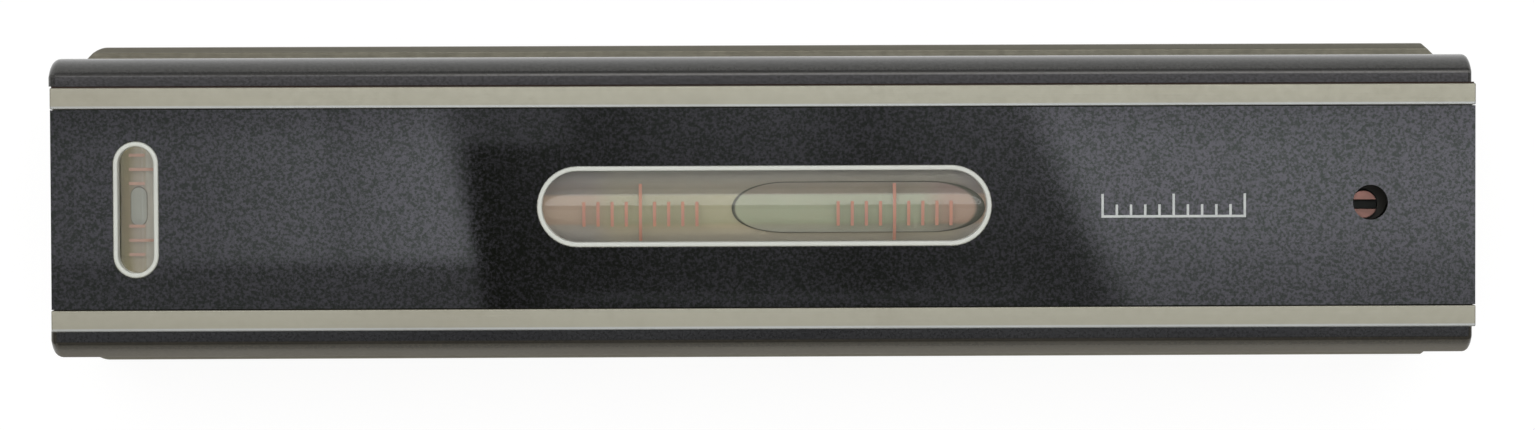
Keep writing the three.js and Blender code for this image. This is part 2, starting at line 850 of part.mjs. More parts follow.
function carrierSpring() {
  const wire = springWire / 2;
  const bottom = bushTopZ + wire + slipGap;
  const top = tongueBottomZ - nutFlangeThickness - wire - slipGap;
  const section = new THREE.Shape();
  for (let i = 0; i < springSides; i += 1) {
    const angle = Math.PI * 2 * i / springSides;
    const point = [wire * Math.cos(angle), wire * Math.sin(angle)];
    if (i === 0) {
      section.moveTo(...point);
    } else {
      section.lineTo(...point);
    }
  }
  section.closePath();
  const coil = new THREE.ExtrudeGeometry(section, {
    steps: springTurns * springStepsPerTurn,
    extrudePath: new SpringPath(springMeanDiameter / 2, bottom, top, springTurns),
    bevelEnabled: false,
  });
  const spring = piece('carrier_spring', toSolid(coil), steel);
  spring.position.set(screwX, 0, 0);
  return spring;
}

// Cross vial holder

function crossVialHolder() {
  const halfX = crossHolderWidth / 2;
  const halfY = crossVialLength / 2;
  const saddleHalf = crossSaddleWidth / 2;
  const plateTop = saddleFloorZ;
  const foot = roundedRectangle(crossX - halfX, crossX + halfX, -halfY, halfY, pocketCorner);
  const base = toSolid(plate(foot, crossFloorZ, plateTop));
  const saddle = toSolid(
    block(crossX - saddleHalf, crossX + saddleHalf, -halfY, halfY, crossFloorZ, crossAxisZ));
  const trough = rodY(
    crossRadius + slipGap, -halfY - cutOverrun, halfY + cutOverrun, crossX, crossAxisZ, tubeFacets);
  const holes = [-1, 1].map((side) => rodZ(
    holderScrewDiameter / 2 + runGap, crossFloorZ - cutOverrun, plateTop + cutOverrun,
    crossX + side * holderScrewX, 0, smallFacets));
  return piece('cross_vial_holder', cut(base.add(saddle), [trough, ...holes]), steel);
}

function holderScrews() {
  return [-1, 1].map((side) => {
    const solid = slottedScrew(
      holderScrewHeadDiameter, holderScrewHeadHeight, holderScrewDiameter,
      crossHolderPlate + holderScrewDepth, holderScrewHeadDiameter * driverSlotShare);
    const screw = piece(`holder_screw_${side > 0 ? 'right' : 'left'}`, solid, steel);
    screw.position.set(crossX + side * holderScrewX, 0, saddleFloorZ);
    return screw;
  });
}

// The whole level

const level = new THREE.Group();

level.add(
  bodyCasting(),
  topCover(),
  coverBondSheet(),
  windowFrame('main_window_frame', slot, windowLength, windowWidth, 0, windowShift),
  windowFrame('cross_window_frame', crossSlot, crossWindowLength, crossWindowWidth, crossX, 0),
  windowPane('main_window_pane', slot, windowLength, windowWidth, 0, windowShift),
  windowPane('cross_window_pane', crossSlot, crossWindowLength, crossWindowWidth, crossX, 0),
  sideGrip('rear_grip', 1, rearGripShift, rearGripStandoff),
  sideGrip('front_grip', -1, frontGripShift, 0),
  ...gripScrews('rear', 1),
  ...gripScrews('front', -1),
);

const carrier = new THREE.Group();
carrier.position.set(vialCentreX, 0, axisZ);
carrier.add(
  carrierTube(),
  vialPacking(-1, 'left'),
  vialPacking(1, 'right'),
  carrierPivotEnd(),
  carrierTongue(),
  ...vialPieces(mainVial, ['left', 'right']),
);
level.add(carrier, tongueNut());

level.add(
  pivotBracket(),
  pivotPin(),
  ...bracketScrews(),
  adjustingScrew(),
  retainingPlate(),
  ...retainingPlateScrews(),
  thrustBush(),
  carrierSpring(),
  crossVialHolder(),
  ...holderScrews(),
);

const crossing = new THREE.Group();
crossing.position.set(crossX, 0, crossAxisZ);
crossing.rotation.z = Math.PI / 2;
crossing.add(...vialPieces(crossVial, ['front', 'rear']));
level.add(crossing);

export default level;
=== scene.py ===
"""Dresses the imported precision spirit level: its looks, its light and its camera."""

import json
import logging
import math
from collections.abc import Callable, Iterable
from dataclasses import dataclass
from enum import Enum

import bmesh
import bpy
from mathutils import Matrix, Vector

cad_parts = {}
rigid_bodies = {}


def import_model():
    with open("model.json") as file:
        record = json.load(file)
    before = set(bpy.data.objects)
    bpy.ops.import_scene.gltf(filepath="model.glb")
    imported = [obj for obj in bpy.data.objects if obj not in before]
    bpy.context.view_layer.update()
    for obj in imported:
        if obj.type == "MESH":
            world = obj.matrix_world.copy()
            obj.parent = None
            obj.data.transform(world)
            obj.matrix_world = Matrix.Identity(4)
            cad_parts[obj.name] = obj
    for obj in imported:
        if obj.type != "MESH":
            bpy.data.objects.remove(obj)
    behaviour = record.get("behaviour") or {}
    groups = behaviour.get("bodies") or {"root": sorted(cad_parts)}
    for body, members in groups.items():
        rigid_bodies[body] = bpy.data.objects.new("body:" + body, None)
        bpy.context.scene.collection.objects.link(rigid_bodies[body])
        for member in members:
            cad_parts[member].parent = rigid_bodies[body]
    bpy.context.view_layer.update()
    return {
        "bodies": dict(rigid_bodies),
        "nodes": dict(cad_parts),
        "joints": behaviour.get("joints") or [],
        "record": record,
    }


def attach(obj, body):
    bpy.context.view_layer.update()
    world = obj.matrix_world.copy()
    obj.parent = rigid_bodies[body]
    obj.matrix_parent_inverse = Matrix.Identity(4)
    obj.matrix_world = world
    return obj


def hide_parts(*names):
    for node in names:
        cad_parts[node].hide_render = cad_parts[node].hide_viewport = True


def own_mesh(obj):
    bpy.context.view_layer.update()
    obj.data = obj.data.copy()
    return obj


LOG = logging.getLogger("spirit_level")
MM = 0.001
SAME_PLACE = 1e-6
SAME_PLACE_MM = 1e-4

# A span is low and high. A fade is low and high, then the results at low and at high.
# A texture is the depth of a relief in metres, and how much of it shows.
Colour = tuple[float, float, float]
Point = tuple[float, float, float]
Scale = tuple[float, float, float]
Socket = bpy.types.NodeSocket
Material = bpy.types.Material
Mesh = bmesh.types.BMesh
Span = tuple[float, float]
Fade = tuple[float, float, float, float]
Texture = tuple[float, float]
Stops = tuple[tuple[float, float], ...]
Value = float | Colour | Socket

WHITE: Colour = (1.0, 1.0, 1.0)
ZENITH: Point = (0.0, 0.0, 1.0)
# Most of a noise pattern's values lie in this span.
NOISE_SPAN: Span = (0.3, 0.7)
# Places of the first input, the second input and the output of a Mix node.
MIX_SOCKETS: dict[str, tuple[int, int, int]] = {
    "FLOAT": (2, 3, 0), "VECTOR": (4, 5, 1), "RGBA": (6, 7, 2)}


class Body(Enum):
    """The moving bodies that the pieces ride on."""

    BASE = "base"
    CARRIER = "vial_carrier"
    MAIN_BUBBLE = "main_bubble"
    CROSS_BUBBLE = "cross_bubble"
    ADJUSTER = "adjuster"


class Slot(Enum):
    """The names of the material slots."""

    IRON = "ground_cast_iron"
    COVER = "black_cover"
    GRIP = "black_plastic"
    FRAME = "white_frame"
    PANE = "window_glass"
    GLASS = "vial_glass"
    SPIRIT = "spirit"
    BUBBLE = "bubble"
    STEEL = "steel"
    COPPER = "copper_alloy"


class Lie(Enum):
    """Which way a vial lies."""

    ALONG = "along the bar"
    ACROSS = "across the bar"


def tone(red: int, green: int, blue: int) -> Colour:
    """Turns a colour as it shows on screen, 0 to 255, into linear light.

    Args:
        red: Red as shown.
        green: Green as shown.
        blue: Blue as shown.

    Returns:
        The three linear shares.
    """

    def linear(value: int) -> float:
        """Undoes the screen's curve for one channel."""
        share = value / 255
        return share / 12.92 if share <= 0.04045 else ((share + 0.055) / 1.055) ** 2.4

    return linear(red), linear(green), linear(blue)


@dataclass(frozen=True)
class Grain:
    """A noise pattern: cycles per metre along X, Y and Z, its octaves and how strong they are."""

    scale: Scale
    detail: float = 2.0
    rough: float = 0.5


class Recipe:
    """Builds the node tree of one procedural material or of the world."""

    def __init__(self, tree: bpy.types.NodeTree) -> None:
        """Clears the tree.

        Args:
            tree: The node tree to fill.
        """
        self.tree = tree
        tree.nodes.clear()

    def add(self, kind: str, **settings: object) -> bpy.types.Node:
        """Adds one node.

        Args:
            kind: The node's type name.
            **settings: Properties of the node.

        Returns:
            The node.
        """
        node = self.tree.nodes.new(kind)
        for name, value in settings.items():
            setattr(node, name, value)
        return node

    def feed(self, target: Socket, source: Value) -> None:
        """Sets an input from a number, a colour or another node's output.

        Args:
            target: The input socket.
            source: What it gets.
        """
        if isinstance(source, Socket):
            self.tree.links.new(source, target)
        elif isinstance(source, tuple) and target.type == "RGBA":
            target.default_value = (*source, 1.0)
        else:
            target.default_value = source

    def maths(self, operation: str, *values: Value) -> Socket:
        """Adds a Math node.

        Args:
            operation: The operation's name.
            *values: Its inputs, numbers or sockets.

        Returns:
            The result's socket.
        """
        node = self.add("ShaderNodeMath", operation=operation)
        for socket, value in zip(node.inputs, values):
            self.feed(socket, value)
        return node.outputs[0]

    def spread(self, value: Value, low: float, high: float, start: float = 0.0,
               end: float = 1.0, smooth: bool = False) -> Socket:
        """Maps a value from low..high to start..end and holds it there.

        Args:
            value: The socket to map.
            low: The value that gives start.
            high: The value that gives end.
            start: Result at low.
            end: Result at high.
            smooth: Whether the change eases in and out.

        Returns:
            The result's socket.
        """
        node = self.add(
            "ShaderNodeMapRange", clamp=True,
            interpolation_type="SMOOTHSTEP" if smooth else "LINEAR")
        for name, entry in (
            ("Value", value), ("From Min", low), ("From Max", high), ("To Min", start),
            ("To Max", end),
        ):
            self.feed(node.inputs[name], entry)
        return node.outputs["Result"]

    def between(self, value: Value, low: float, high: float, soft: float) -> Socket:
        """Gives 1 where a value lies between two bounds, with soft edges.

        Args:
            value: The socket to test.
            low: Lower bound.
            high: Upper bound.
            soft: Width of each edge.

        Returns:
            The mask's socket.
        """
        rise = self.spread(value, low - soft / 2, low + soft / 2, smooth=True)
        fall = self.spread(value, high - soft / 2, high + soft / 2, 1.0, 0.0, smooth=True)
        return self.maths("MULTIPLY", rise, fall)

    def ramp(self, value: Value, stops: Stops) -> Socket:
        """Reads a grey value off a row of stops.

        Args:
            value: The socket that says where, 0 to 1.
            stops: Pairs of place and grey.

        Returns:
            The grey's socket.
        """
        node = self.add("ShaderNodeValToRGB")
        elements = node.color_ramp.elements
        while len(elements) < len(stops):
            elements.new(1.0)
        for element, (place, grey) in zip(elements, stops):
            element.position = place
            element.color = (grey, grey, grey, 1.0)
        self.feed(node.inputs["Fac"], value)
        return node.outputs["Color"]

    def mix(self, kind: str, share: Value, first: Value, second: Value,
            **settings: object) -> Socket:
        """Adds a Mix node.

        Args:
            kind: What it mixes: FLOAT, VECTOR or RGBA.
            share: How much of the second.
            first: First value.
            second: Second value.
            **settings: Other properties of the node.

        Returns:
            The result's socket.
        """
        node = self.add("ShaderNodeMix", data_type=kind, **settings)
        first_at, second_at, result_at = MIX_SOCKETS[kind]
        self.feed(node.inputs[0], share)
        self.feed(node.inputs[first_at], first)
        self.feed(node.inputs[second_at], second)
        return node.outputs[result_at]

    def blend(self, share: Value, first: Value, second: Value) -> Socket:
        """Mixes two colours, by the share of the second."""
        return self.mix("RGBA", share, first, second)

    def tinted(self, first: Value, second: Value) -> Socket:
        """Multiplies two colours."""
        return self.mix("RGBA", 1.0, first, second, blend_type="MULTIPLY")

    def layered(self, share: Value, below: Value, above: Value) -> Socket:
        """Lays one number over another, by the share of the upper one."""
        return self.mix("FLOAT", share, below, above)

    def layer(self, share: Value, first: Socket,
              second: Socket) -> Socket:
        """Mixes two shaders.

        Args:
            share: How much of the second.
            first: First shader.
            second: Second shader.

        Returns:
            The mixed shader's socket.
        """
        node = self.add("ShaderNodeMixShader")
        for socket, entry in zip(node.inputs, (share, first, second)):
            self.feed(socket, entry)
        return node.outputs[0]


class Surface(Recipe):
    """The recipe of a material, on the piece's own coordinates."""

    def __init__(self, name: str) -> None:
        """Starts a material.

        Args:
            name: The material's name.
        """
        self.material = bpy.data.materials.new(name)
        self.material.use_nodes = True
        super().__init__(self.material.node_tree)
        self.place = self.add("ShaderNodeTexCoord").outputs["Object"]
        parts = self.add("ShaderNodeSeparateXYZ")
        self.feed(parts.inputs[0], self.place)
        self.along, self.across, self.height = parts.outputs

    def upward(self, low: float, high: float) -> Socket:
        """Gives 1 on faces that look up.

        Args:
            low: The normal's height where the mask starts.
            high: The normal's height where it is full.

        Returns:
            The mask's socket.
        """
        parts = self.add("ShaderNodeSeparateXYZ")
        self.feed(parts.inputs[0], self.add("ShaderNodeNewGeometry").outputs["Normal"])
        return self.spread(parts.outputs[2], low, high)

    def levelled(self, share: float) -> Socket:
        """Turns the normal towards the zenith, as where a liquid bends the light to the eye.

        Args:
            share: How far it turns, 0 to 1.

        Returns:
            The normal's socket.
        """
        normal = self.add("ShaderNodeNewGeometry").outputs["Normal"]
        unit = self.add("ShaderNodeVectorMath", operation="NORMALIZE")
        self.feed(unit.inputs[0], self.mix("VECTOR", share, normal, ZENITH))
        return unit.outputs[0]

    def stretched(self, scale: Scale) -> Socket:
        """Scales the coordinates, so that a pattern stretches.

        Args:
            scale: Cycles per metre along X, Y and Z.

        Returns:
            The scaled coordinates' socket.
        """
        node = self.add("ShaderNodeMapping")
        self.feed(node.inputs["Vector"], self.place)
        self.feed(node.inputs["Scale"], scale)
        return node.outputs["Vector"]

    def noise(self, grain: Grain) -> Socket:
        """Adds noise.

        Args:
            grain: The pattern.

        Returns:
            The noise value's socket.
        """
        node = self.add("ShaderNodeTexNoise", noise_dimensions="3D")
        self.feed(node.inputs["Vector"], self.stretched(grain.scale))
        node.inputs["Scale"].default_value = 1.0
        node.inputs["Detail"].default_value = grain.detail
        node.inputs["Roughness"].default_value = grain.rough
        return node.outputs[0]

    def relief(self, height: Value, depth: float, strength: float) -> Socket:
        """Turns a height into a bumped normal.

        Args:
            height: The height's socket.
            depth: Depth of the relief in metres.
            strength: How much of it shows.

        Returns:
            The normal's socket.
        """
        node = self.add("ShaderNodeBump")
        self.feed(node.inputs["Height"], height)
        node.inputs["Distance"].default_value = depth
        node.inputs["Strength"].default_value = strength
        return node.outputs["Normal"]

    def principled(self, colour: Value, roughness: Value, metallic: float = 0.0,
                   shine: float = 0.5, normal: Value | None = None,
                   sheen: Value | None = None) -> Socket:
        """Adds the main shader.

        Args:
            colour: Base colour.
            roughness: Roughness.
            metallic: 1 for bare metal.
            shine: Specular level, 0.5 for common plastics.
            normal: A bumped normal, if any.
            sheen: Colour of the gloss, if it isn't white.

        Returns:
            The shader's socket.
        """
        node = self.add("ShaderNodeBsdfPrincipled")
        self.feed(node.inputs["Base Color"], colour)
        self.feed(node.inputs["Roughness"], roughness)
        node.inputs["Metallic"].default_value = metallic
        node.inputs["Specular IOR Level"].default_value = shine
        if normal is not None:
            self.feed(node.inputs["Normal"], normal)
        if sheen is not None:
            self.feed(node.inputs["Specular Tint"], sheen)
        return node.outputs[0]

    def done(self, shader: Socket) -> Material:
        """Joins the shader to the output.

        Args:
            shader: The last shader's socket.

        Returns:
            The material.
        """
        self.feed(self.add("ShaderNodeOutputMaterial").inputs["Surface"], shader)
        return self.material


@dataclass(frozen=True)
class GroundIron:
    """Fine-grained cast iron, ground bright on its top edges, duller lower down, with painted edge
    highlights.
    """

    name: str = "ground_iron"
    bright: Colour = tone(153, 151, 137)
    dull: Colour = tone(150, 148, 140)
    shelf: Colour = tone(121, 118, 105)
    edge_highlight: Colour = tone(170, 173, 172)
    stain: Colour = tone(120, 113, 100)
    lines: Grain = Grain((55.0, 5200.0, 5200.0), 3.0)
    grain: Grain = Grain((900.0, 900.0, 900.0), 4.0, 0.6)
    clouds: Grain = Grain((38.0, 60.0, 60.0), 3.0)
    end_stain: Fade = (-90 * MM, -20 * MM, 0.14, 0.0)
    cloud_stain: Fade = (0.5, 0.75, 0.0, 0.22)
    line_dulling: Fade = (0.35, 0.7, 0.0, 0.16)
    top_levels: Span = (40.5 * MM, 41.2 * MM)
    shelf_below: float = 20 * MM
    shelf_facing: Span = (0.4, 0.8)
    edge_highlight_lines: Span = (14.1 * MM, -17.1 * MM)
    edge_highlight_width: float = 0.4 * MM
    roughness: Span = (0.52, 0.4)
    grain_roughness: Span = (-0.04, 0.06)
    line_depth: float = 0.7
    grain_depth: float = 0.5
    texture: Texture = (0.02 * MM, 0.35)

    def material(self) -> Material:
        """Builds the material.

        Returns:
            The material.
        """
        s = Surface(self.name)
        lines, grain, clouds = s.noise(self.lines), s.noise(self.grain), s.noise(self.clouds)
        top = s.spread(s.height, *self.top_levels)
        low = s.maths("LESS_THAN", s.height, self.shelf_below)
        shelf = s.maths("MULTIPLY", s.upward(*self.shelf_facing), low)
        colour = s.blend(shelf, self.dull, self.shelf)
        colour = s.blend(top, colour, self.bright)
        # Painted highlights: pale lines on two top edges, where their bevels catch the light.
        for line in self.edge_highlight_lines:
            near = s.between(s.across, line, line + self.edge_highlight_width, self.edge_highlight_width / 2)
            colour = s.blend(s.maths("MULTIPLY", near, top), colour, self.edge_highlight)
        colour = s.blend(s.spread(s.along, *self.end_stain), colour, self.stain)
        colour = s.blend(s.spread(clouds, *self.cloud_stain), colour, self.stain)
        colour = s.blend(s.spread(lines, *self.line_dulling), colour, self.dull)
        roughness = s.maths(
            "ADD", s.spread(top, 0.0, 1.0, *self.roughness),
            s.spread(grain, *NOISE_SPAN, *self.grain_roughness))
        relief = s.maths(
            "ADD", s.maths("MULTIPLY", lines, self.line_depth),
            s.maths("MULTIPLY", grain, self.grain_depth))
        normal = s.relief(relief, *self.texture)
        return s.done(s.principled(colour, roughness, metallic=1.0, normal=normal))


@dataclass(frozen=True)
class BlackCover:
    """Glossy black lacquer on the top plate, with faint orange peel and a few specks of dust.

    The walls of its windows are painted pale olive, as the frames' white lining in painted shade.
    """

    name: str = "cover_lacquer"
    black: Colour = (0.0058, 0.0064, 0.0046)
    speckle: Colour = (0.0220, 0.0214, 0.0240)
    speckle_span: Span = (0.45, 0.7)
    sheen_low: Colour = (0.52, 0.58, 0.50)
    sheen_high: Colour = (1.0, 0.98, 1.0)
    sheen_span: Span = (0.38, 0.58)
    fine: Grain = Grain((2600.0, 2600.0, 2600.0), 2.0, 0.6)
    peel: Grain = Grain((620.0, 620.0, 620.0))
    fine_depth: float = 0.2
    roughness: Span = (0.02, 0.035)
    texture: Texture = (0.004 * MM, 0.12)
    lining_shade: Colour = tone(150, 142, 104)
    lining_shade_along: Span = (-93 * MM, 57 * MM)
    lining_shade_soft: float = 1 * MM
    lining_shade_half: float = 10 * MM
    wall_facing: Span = (0.1, 0.3)
    dust: Colour = (0.42, 0.42, 0.40)
    speck_cells: Scale = (34.0, 34.0, 34.0)
    speck_size: float = 0.008
    speck_core: float = 0.7
    speck_rarity: float = 0.45

    def material(self) -> Material:
        """Builds the material.

        Returns:
            The material.
        """
        s = Surface(self.name)
        fine, peel = s.noise(self.fine), s.noise(self.peel)
        colour = s.blend(s.spread(fine, *self.speckle_span), self.black, self.speckle)
        cells = s.add("ShaderNodeTexVoronoi", feature="F1")
        s.feed(cells.inputs["Vector"], s.stretched(self.speck_cells))
        cells.inputs["Scale"].default_value = 1.0
        near = s.spread(
            cells.outputs["Distance"], self.speck_size * self.speck_core, self.speck_size, 1.0, 0.0)
        chosen = s.maths("GREATER_THAN", cells.outputs["Color"], self.speck_rarity)
        colour = s.blend(s.maths("MULTIPLY", near, chosen), colour, self.dust)
        # Painted shade: the window walls take the olive of the frames' white lining in shade.
        wall = s.maths("SUBTRACT", 1.0, s.upward(*self.wall_facing))
        inside = s.maths("LESS_THAN", s.maths("ABSOLUTE", s.across), self.lining_shade_half)
        beside = s.between(s.along, *self.lining_shade_along, self.lining_shade_soft)
        inside = s.maths("MULTIPLY", inside, beside)
        colour = s.blend(s.maths("MULTIPLY", wall, inside), colour, self.lining_shade)
        roughness = s.spread(fine, *NOISE_SPAN, *self.roughness)
        relief = s.maths("ADD", s.maths("MULTIPLY", fine, self.fine_depth), peel)
        normal = s.relief(relief, *self.texture)
        sheen = s.blend(s.spread(fine, *self.sheen_span), self.sheen_low, self.sheen_high)
        return s.done(s.principled(colour, roughness, shine=1.0, normal=normal, sheen=sheen))


@dataclass(frozen=True)
class WornFinish:
    """A finish in two tones: a broad pattern lays the worn one over the plain one.

    A fine pattern gives the texture, and both patterns vary the roughness.
    """

    name: str
    colour: Colour
    worn: Colour
    roughness: float = 0.36
    fine: Grain = Grain((3200.0, 3200.0, 3200.0))
    broad: Grain = Grain((45.0, 160.0, 160.0), 3.0)
    worn_fade: Fade = (0.4, 0.75, 0.0, 0.6)
    broad_reach: Span = (-0.03, 0.05)
    fine_reach: Span = (-0.02, 0.03)
    texture: Texture = (0.012 * MM, 0.35)

    def base(self, s: Surface) -> tuple[Socket, Socket, Socket]:
        """Mixes what the two patterns give.

        Args:
            s: The surface to fill.

        Returns:
            The colour, the roughness and the bumped normal.
        """
        fine, broad = s.noise(self.fine), s.noise(self.broad)
        colour = s.blend(s.spread(broad, *self.worn_fade), self.colour, self.worn)
        start, end = (self.roughness + reach for reach in self.broad_reach)
        roughness = s.maths(
            "ADD", s.spread(broad, *NOISE_SPAN, start, end),
            s.spread(fine, *NOISE_SPAN, *self.fine_reach))
        return colour, roughness, s.relief(fine, *self.texture)


@dataclass(frozen=True)
class MouldedPlastic(WornFinish):
    """Satin moulded plastic with a fine spark-eroded texture."""

    shine: float = 0.7

    def material(self) -> Material:
        """Builds the material.

        Returns:
            The material.
        """
        s = Surface(self.name)
        colour, roughness, normal = self.base(s)
        return s.done(s.principled(colour, roughness, shine=self.shine, normal=normal))


@dataclass(frozen=True)
class GripLightAndGloss:
    """What sets one grip's surface apart from the other's: its painted highlights, its painted warm
    reflection and its gloss.
    """

    rim: float
    border: float
    warm_reflection: float
    shine: float
    flank_sheen: Colour
    flat_sheen: Colour


@dataclass(frozen=True, kw_only=True)
class GripPlastic(WornFinish):
    """Satin black plastic, with painted highlights along its rim and the border of its flat top,
    and a painted warm reflection on its flank.
    """

    rim: float
    border: float
    light_and_gloss: GripLightAndGloss
    colour: Colour = (0.019, 0.0185, 0.019)
    worn: Colour = (0.029, 0.028, 0.028)
    roughness: float = 0.2
    broad_reach: Span = (-0.02, 0.03)
    texture: Texture = (0.006 * MM, 0.2)
    flat_black: Colour = (0.009, 0.0085, 0.0095)
    flat_facing: Span = (0.93, 0.985)
    pale: Colour = (0.20, 0.195, 0.185)
    rim_width: float = 0.14 * MM
    border_width: float = 0.34 * MM
    border_above: float = 40.9 * MM
    border_fade: Fade = (-60 * MM, -30 * MM, 0.2, 1.0)
    warm_reflection: Colour = (0.118, 0.103, 0.070)
    warm_reflection_width: float = 1.6 * MM
    warm_reflection_facing: Span = (0.0, 0.1)
    warm_reflection_gain: float = 2.0
    sheen_facing: Span = (0.1, 0.4)
    grain_low: Colour = (0.62, 0.63, 0.60)
    grain_span: Span = (0.38, 0.6)
    speckle: Grain = Grain((2600.0, 2600.0, 2600.0), 2.0, 0.6)

    def material(self) -> Material:
        """Builds the material.

        Returns:
            The material.
        """
        s, light_and_gloss = Surface(self.name), self.light_and_gloss
        colour, roughness, normal = self.base(s)
        flat = s.upward(*self.flat_facing)
        colour = s.blend(flat, colour, self.flat_black)
        out = s.maths("ABSOLUTE", s.across)
        # Painted warm reflection: a warm tint on the up-facing flank near the rim, which also
        # roughens it there.
        warm_band = s.spread(out, self.rim - self.warm_reflection_width, self.rim, 0.0, light_and_gloss.warm_reflection)
        warm_band = s.maths("MULTIPLY", warm_band, s.upward(*self.warm_reflection_facing))
        colour = s.blend(s.maths("MULTIPLY", warm_band, self.warm_reflection_gain), colour, self.warm_reflection)
        # Painted highlights: pale lines along the rim and the border of the flat top, where the
        # rounded edges catch the light.
        rim = s.spread(out, self.rim - self.rim_width, self.rim - self.rim_width / 2, smooth=True)
        colour = s.blend(s.maths("MULTIPLY", rim, light_and_gloss.rim), colour, self.pale)
        border = s.between(
            out, self.border - self.border_width, self.border, self.border_width / 2)
        border = s.maths("MULTIPLY", border, s.maths("GREATER_THAN", s.height, self.border_above))
        border = s.maths("MULTIPLY", border, s.spread(s.along, *self.border_fade))
        colour = s.blend(s.maths("MULTIPLY", border, light_and_gloss.border), colour, self.pale)
        roughness = s.maths("ADD", roughness, warm_band)
        sheen = s.blend(s.upward(*self.sheen_facing), WHITE, light_and_gloss.flank_sheen)
        sheen = s.blend(flat, sheen, light_and_gloss.flat_sheen)
        grain = s.blend(s.spread(s.noise(self.speckle), *self.grain_span), self.grain_low, WHITE)
        return s.done(s.principled(
            colour, roughness, shine=light_and_gloss.shine, normal=normal, sheen=s.tinted(sheen, grain)))


@dataclass(frozen=True)
class ClearSheet:
    """Clear glass or acrylic: see-through, with its shine on the outer faces only."""

    name: str
    tint: Colour
    index: float
    haze: Grain = Grain((140.0, 140.0, 140.0), 3.0)
    haze_roughness: Fade = (0.4, 0.8, 0.02, 0.05)

    def material(self) -> Material:
        """Builds the material.

        Returns:
            The material.
        """
        s = Surface(self.name)
        through = s.add("ShaderNodeBsdfTransparent")
        s.feed(through.inputs["Color"], self.tint)
        shine = s.add("ShaderNodeBsdfGlossy")
        s.feed(shine.inputs["Color"], WHITE)
        s.feed(shine.inputs["Roughness"], s.spread(s.noise(self.haze), *self.haze_roughness))
        fresnel = s.add("ShaderNodeFresnel")
        fresnel.inputs["IOR"].default_value = self.index
        outside = s.maths("SUBTRACT", 1.0, s.add("ShaderNodeNewGeometry").outputs["Backfacing"])
        share = s.maths("MULTIPLY", fresnel.outputs[0], outside)
        return s.done(s.layer(share, through.outputs[0], shine.outputs[0]))


@dataclass(frozen=True)
class VialShade:
    """The painted light and shade of a vial's filling, in bands along it, with another tint at its
    ends.
    """

    middle: Colour
    end: Colour
    far: Colour
    far_end: Colour
    near: Colour
    near_end: Colour
    lie: Lie
    radius: float
    plain: Span
    centre: float = 0.0
    plain_soft: float = 5 * MM
    far_span: Span = (0.26, 0.36)
    near_span: Span = (-0.56, -0.44)
    flank_span: Span = (0.5, 1.0)
    flank_lift: float = 0.3
    mottle: Grain = Grain((420.0, 900.0, 900.0), 3.0, 0.6)
    mottle_fade: Fade = (0.35, 0.75, 0.0, 0.12)

    def colour(self, s: Surface) -> Socket:
        """Mixes the shades.

        Args:
            s: The surface to colour.

        Returns:
            The colour's socket.
        """
        # All these bands are painted light and shade, as the filling shows through the glass under
        # the window.
        across, along = (s.across, s.along) if self.lie is Lie.ALONG else (s.along, s.across)
        share = s.maths("DIVIDE", s.maths("SUBTRACT", across, self.centre), self.radius)
        plain = s.between(along, *self.plain, self.plain_soft)
        colour = s.blend(plain, self.end, self.middle)
        far = s.blend(plain, self.far_end, self.far)
        near = s.blend(plain, self.near_end, self.near)
        colour = s.blend(s.spread(share, *self.far_span, smooth=True), colour, far)
        close = s.spread(share, *self.near_span, 1.0, 0.0, smooth=True)
        colour = s.blend(close, colour, near)
        # Painted light: the flanks lie deeper in the body and get less light, so they are painted
        # paler for the same look.
        flank = s.spread(s.maths("ABSOLUTE", share), *self.flank_span, 0.0, self.flank_lift)
        colour = s.blend(flank, colour, WHITE)
        return s.blend(s.spread(s.noise(self.mottle), *self.mottle_fade), colour, self.end)


@dataclass(frozen=True)
class SpiritColumn:
    """The spirit in a vial, coloured as if against a pale backing, with painted light and shade."""

    name: str
    shade: VialShade
    roughness: float = 0.35
    shine: float = 0.1
    levelled: float = 0.75

    def material(self) -> Material:
        """Builds the material.

        Returns:
            The material.
        """
        s = Surface(self.name)
        return s.done(s.principled(
            self.shade.colour(s), self.roughness, shine=self.shine,
            normal=s.levelled(self.levelled)))


@dataclass(frozen=True)
class BubbleSkin:
    """The air bubble: the painted light and shade around it, a little greener, with a painted thin
    dark rim where its curved edge turns the light away.
    """

    name: str
    shade: VialShade
    rim: Colour
    rim_span: Span = (0.28, 0.40)
    rim_mark: str = "rim"
    roughness: float = 0.3
    shine: float = 0.1
    levelled: float = 0.75

    def material(self) -> Material:
        """Builds the material.

        Returns:
            The material.
        """
        s = Surface(self.name)
        mark = s.add("ShaderNodeAttribute", attribute_name=self.rim_mark)
        edge = s.spread(mark.outputs["Fac"], *self.rim_span, 1.0, 0.0, smooth=True)
        return s.done(s.principled(
            s.blend(edge, self.shade.colour(s), self.rim), self.roughness, shine=self.shine,
            normal=s.levelled(self.levelled)))


@dataclass(frozen=True)
class Paint:
    """A thin coat of paint, a little uneven."""

    name: str
    colour: Colour
    faded: Colour
    roughness: float = 0.5
    patches: Grain = Grain((500.0, 900.0, 900.0), 3.0, 0.6)
    faded_span: Span = (0.35, 0.7)
    texture: Texture = (0.01 * MM, 0.3)

    def material(self) -> Material:
        """Builds the material.

        Returns:
            The material.
        """
        s = Surface(self.name)
        patchy = s.noise(self.patches)
        colour = s.blend(s.spread(patchy, *self.faded_span), self.colour, self.faded)
        normal = s.relief(patchy, *self.texture)
        return s.done(s.principled(colour, self.roughness, normal=normal))


def cement(name: str) -> Paint:
    """Gives the finish of pale, dry cement."""
    return Paint(name, tone(176, 168, 142), tone(150, 142, 116), 0.8)


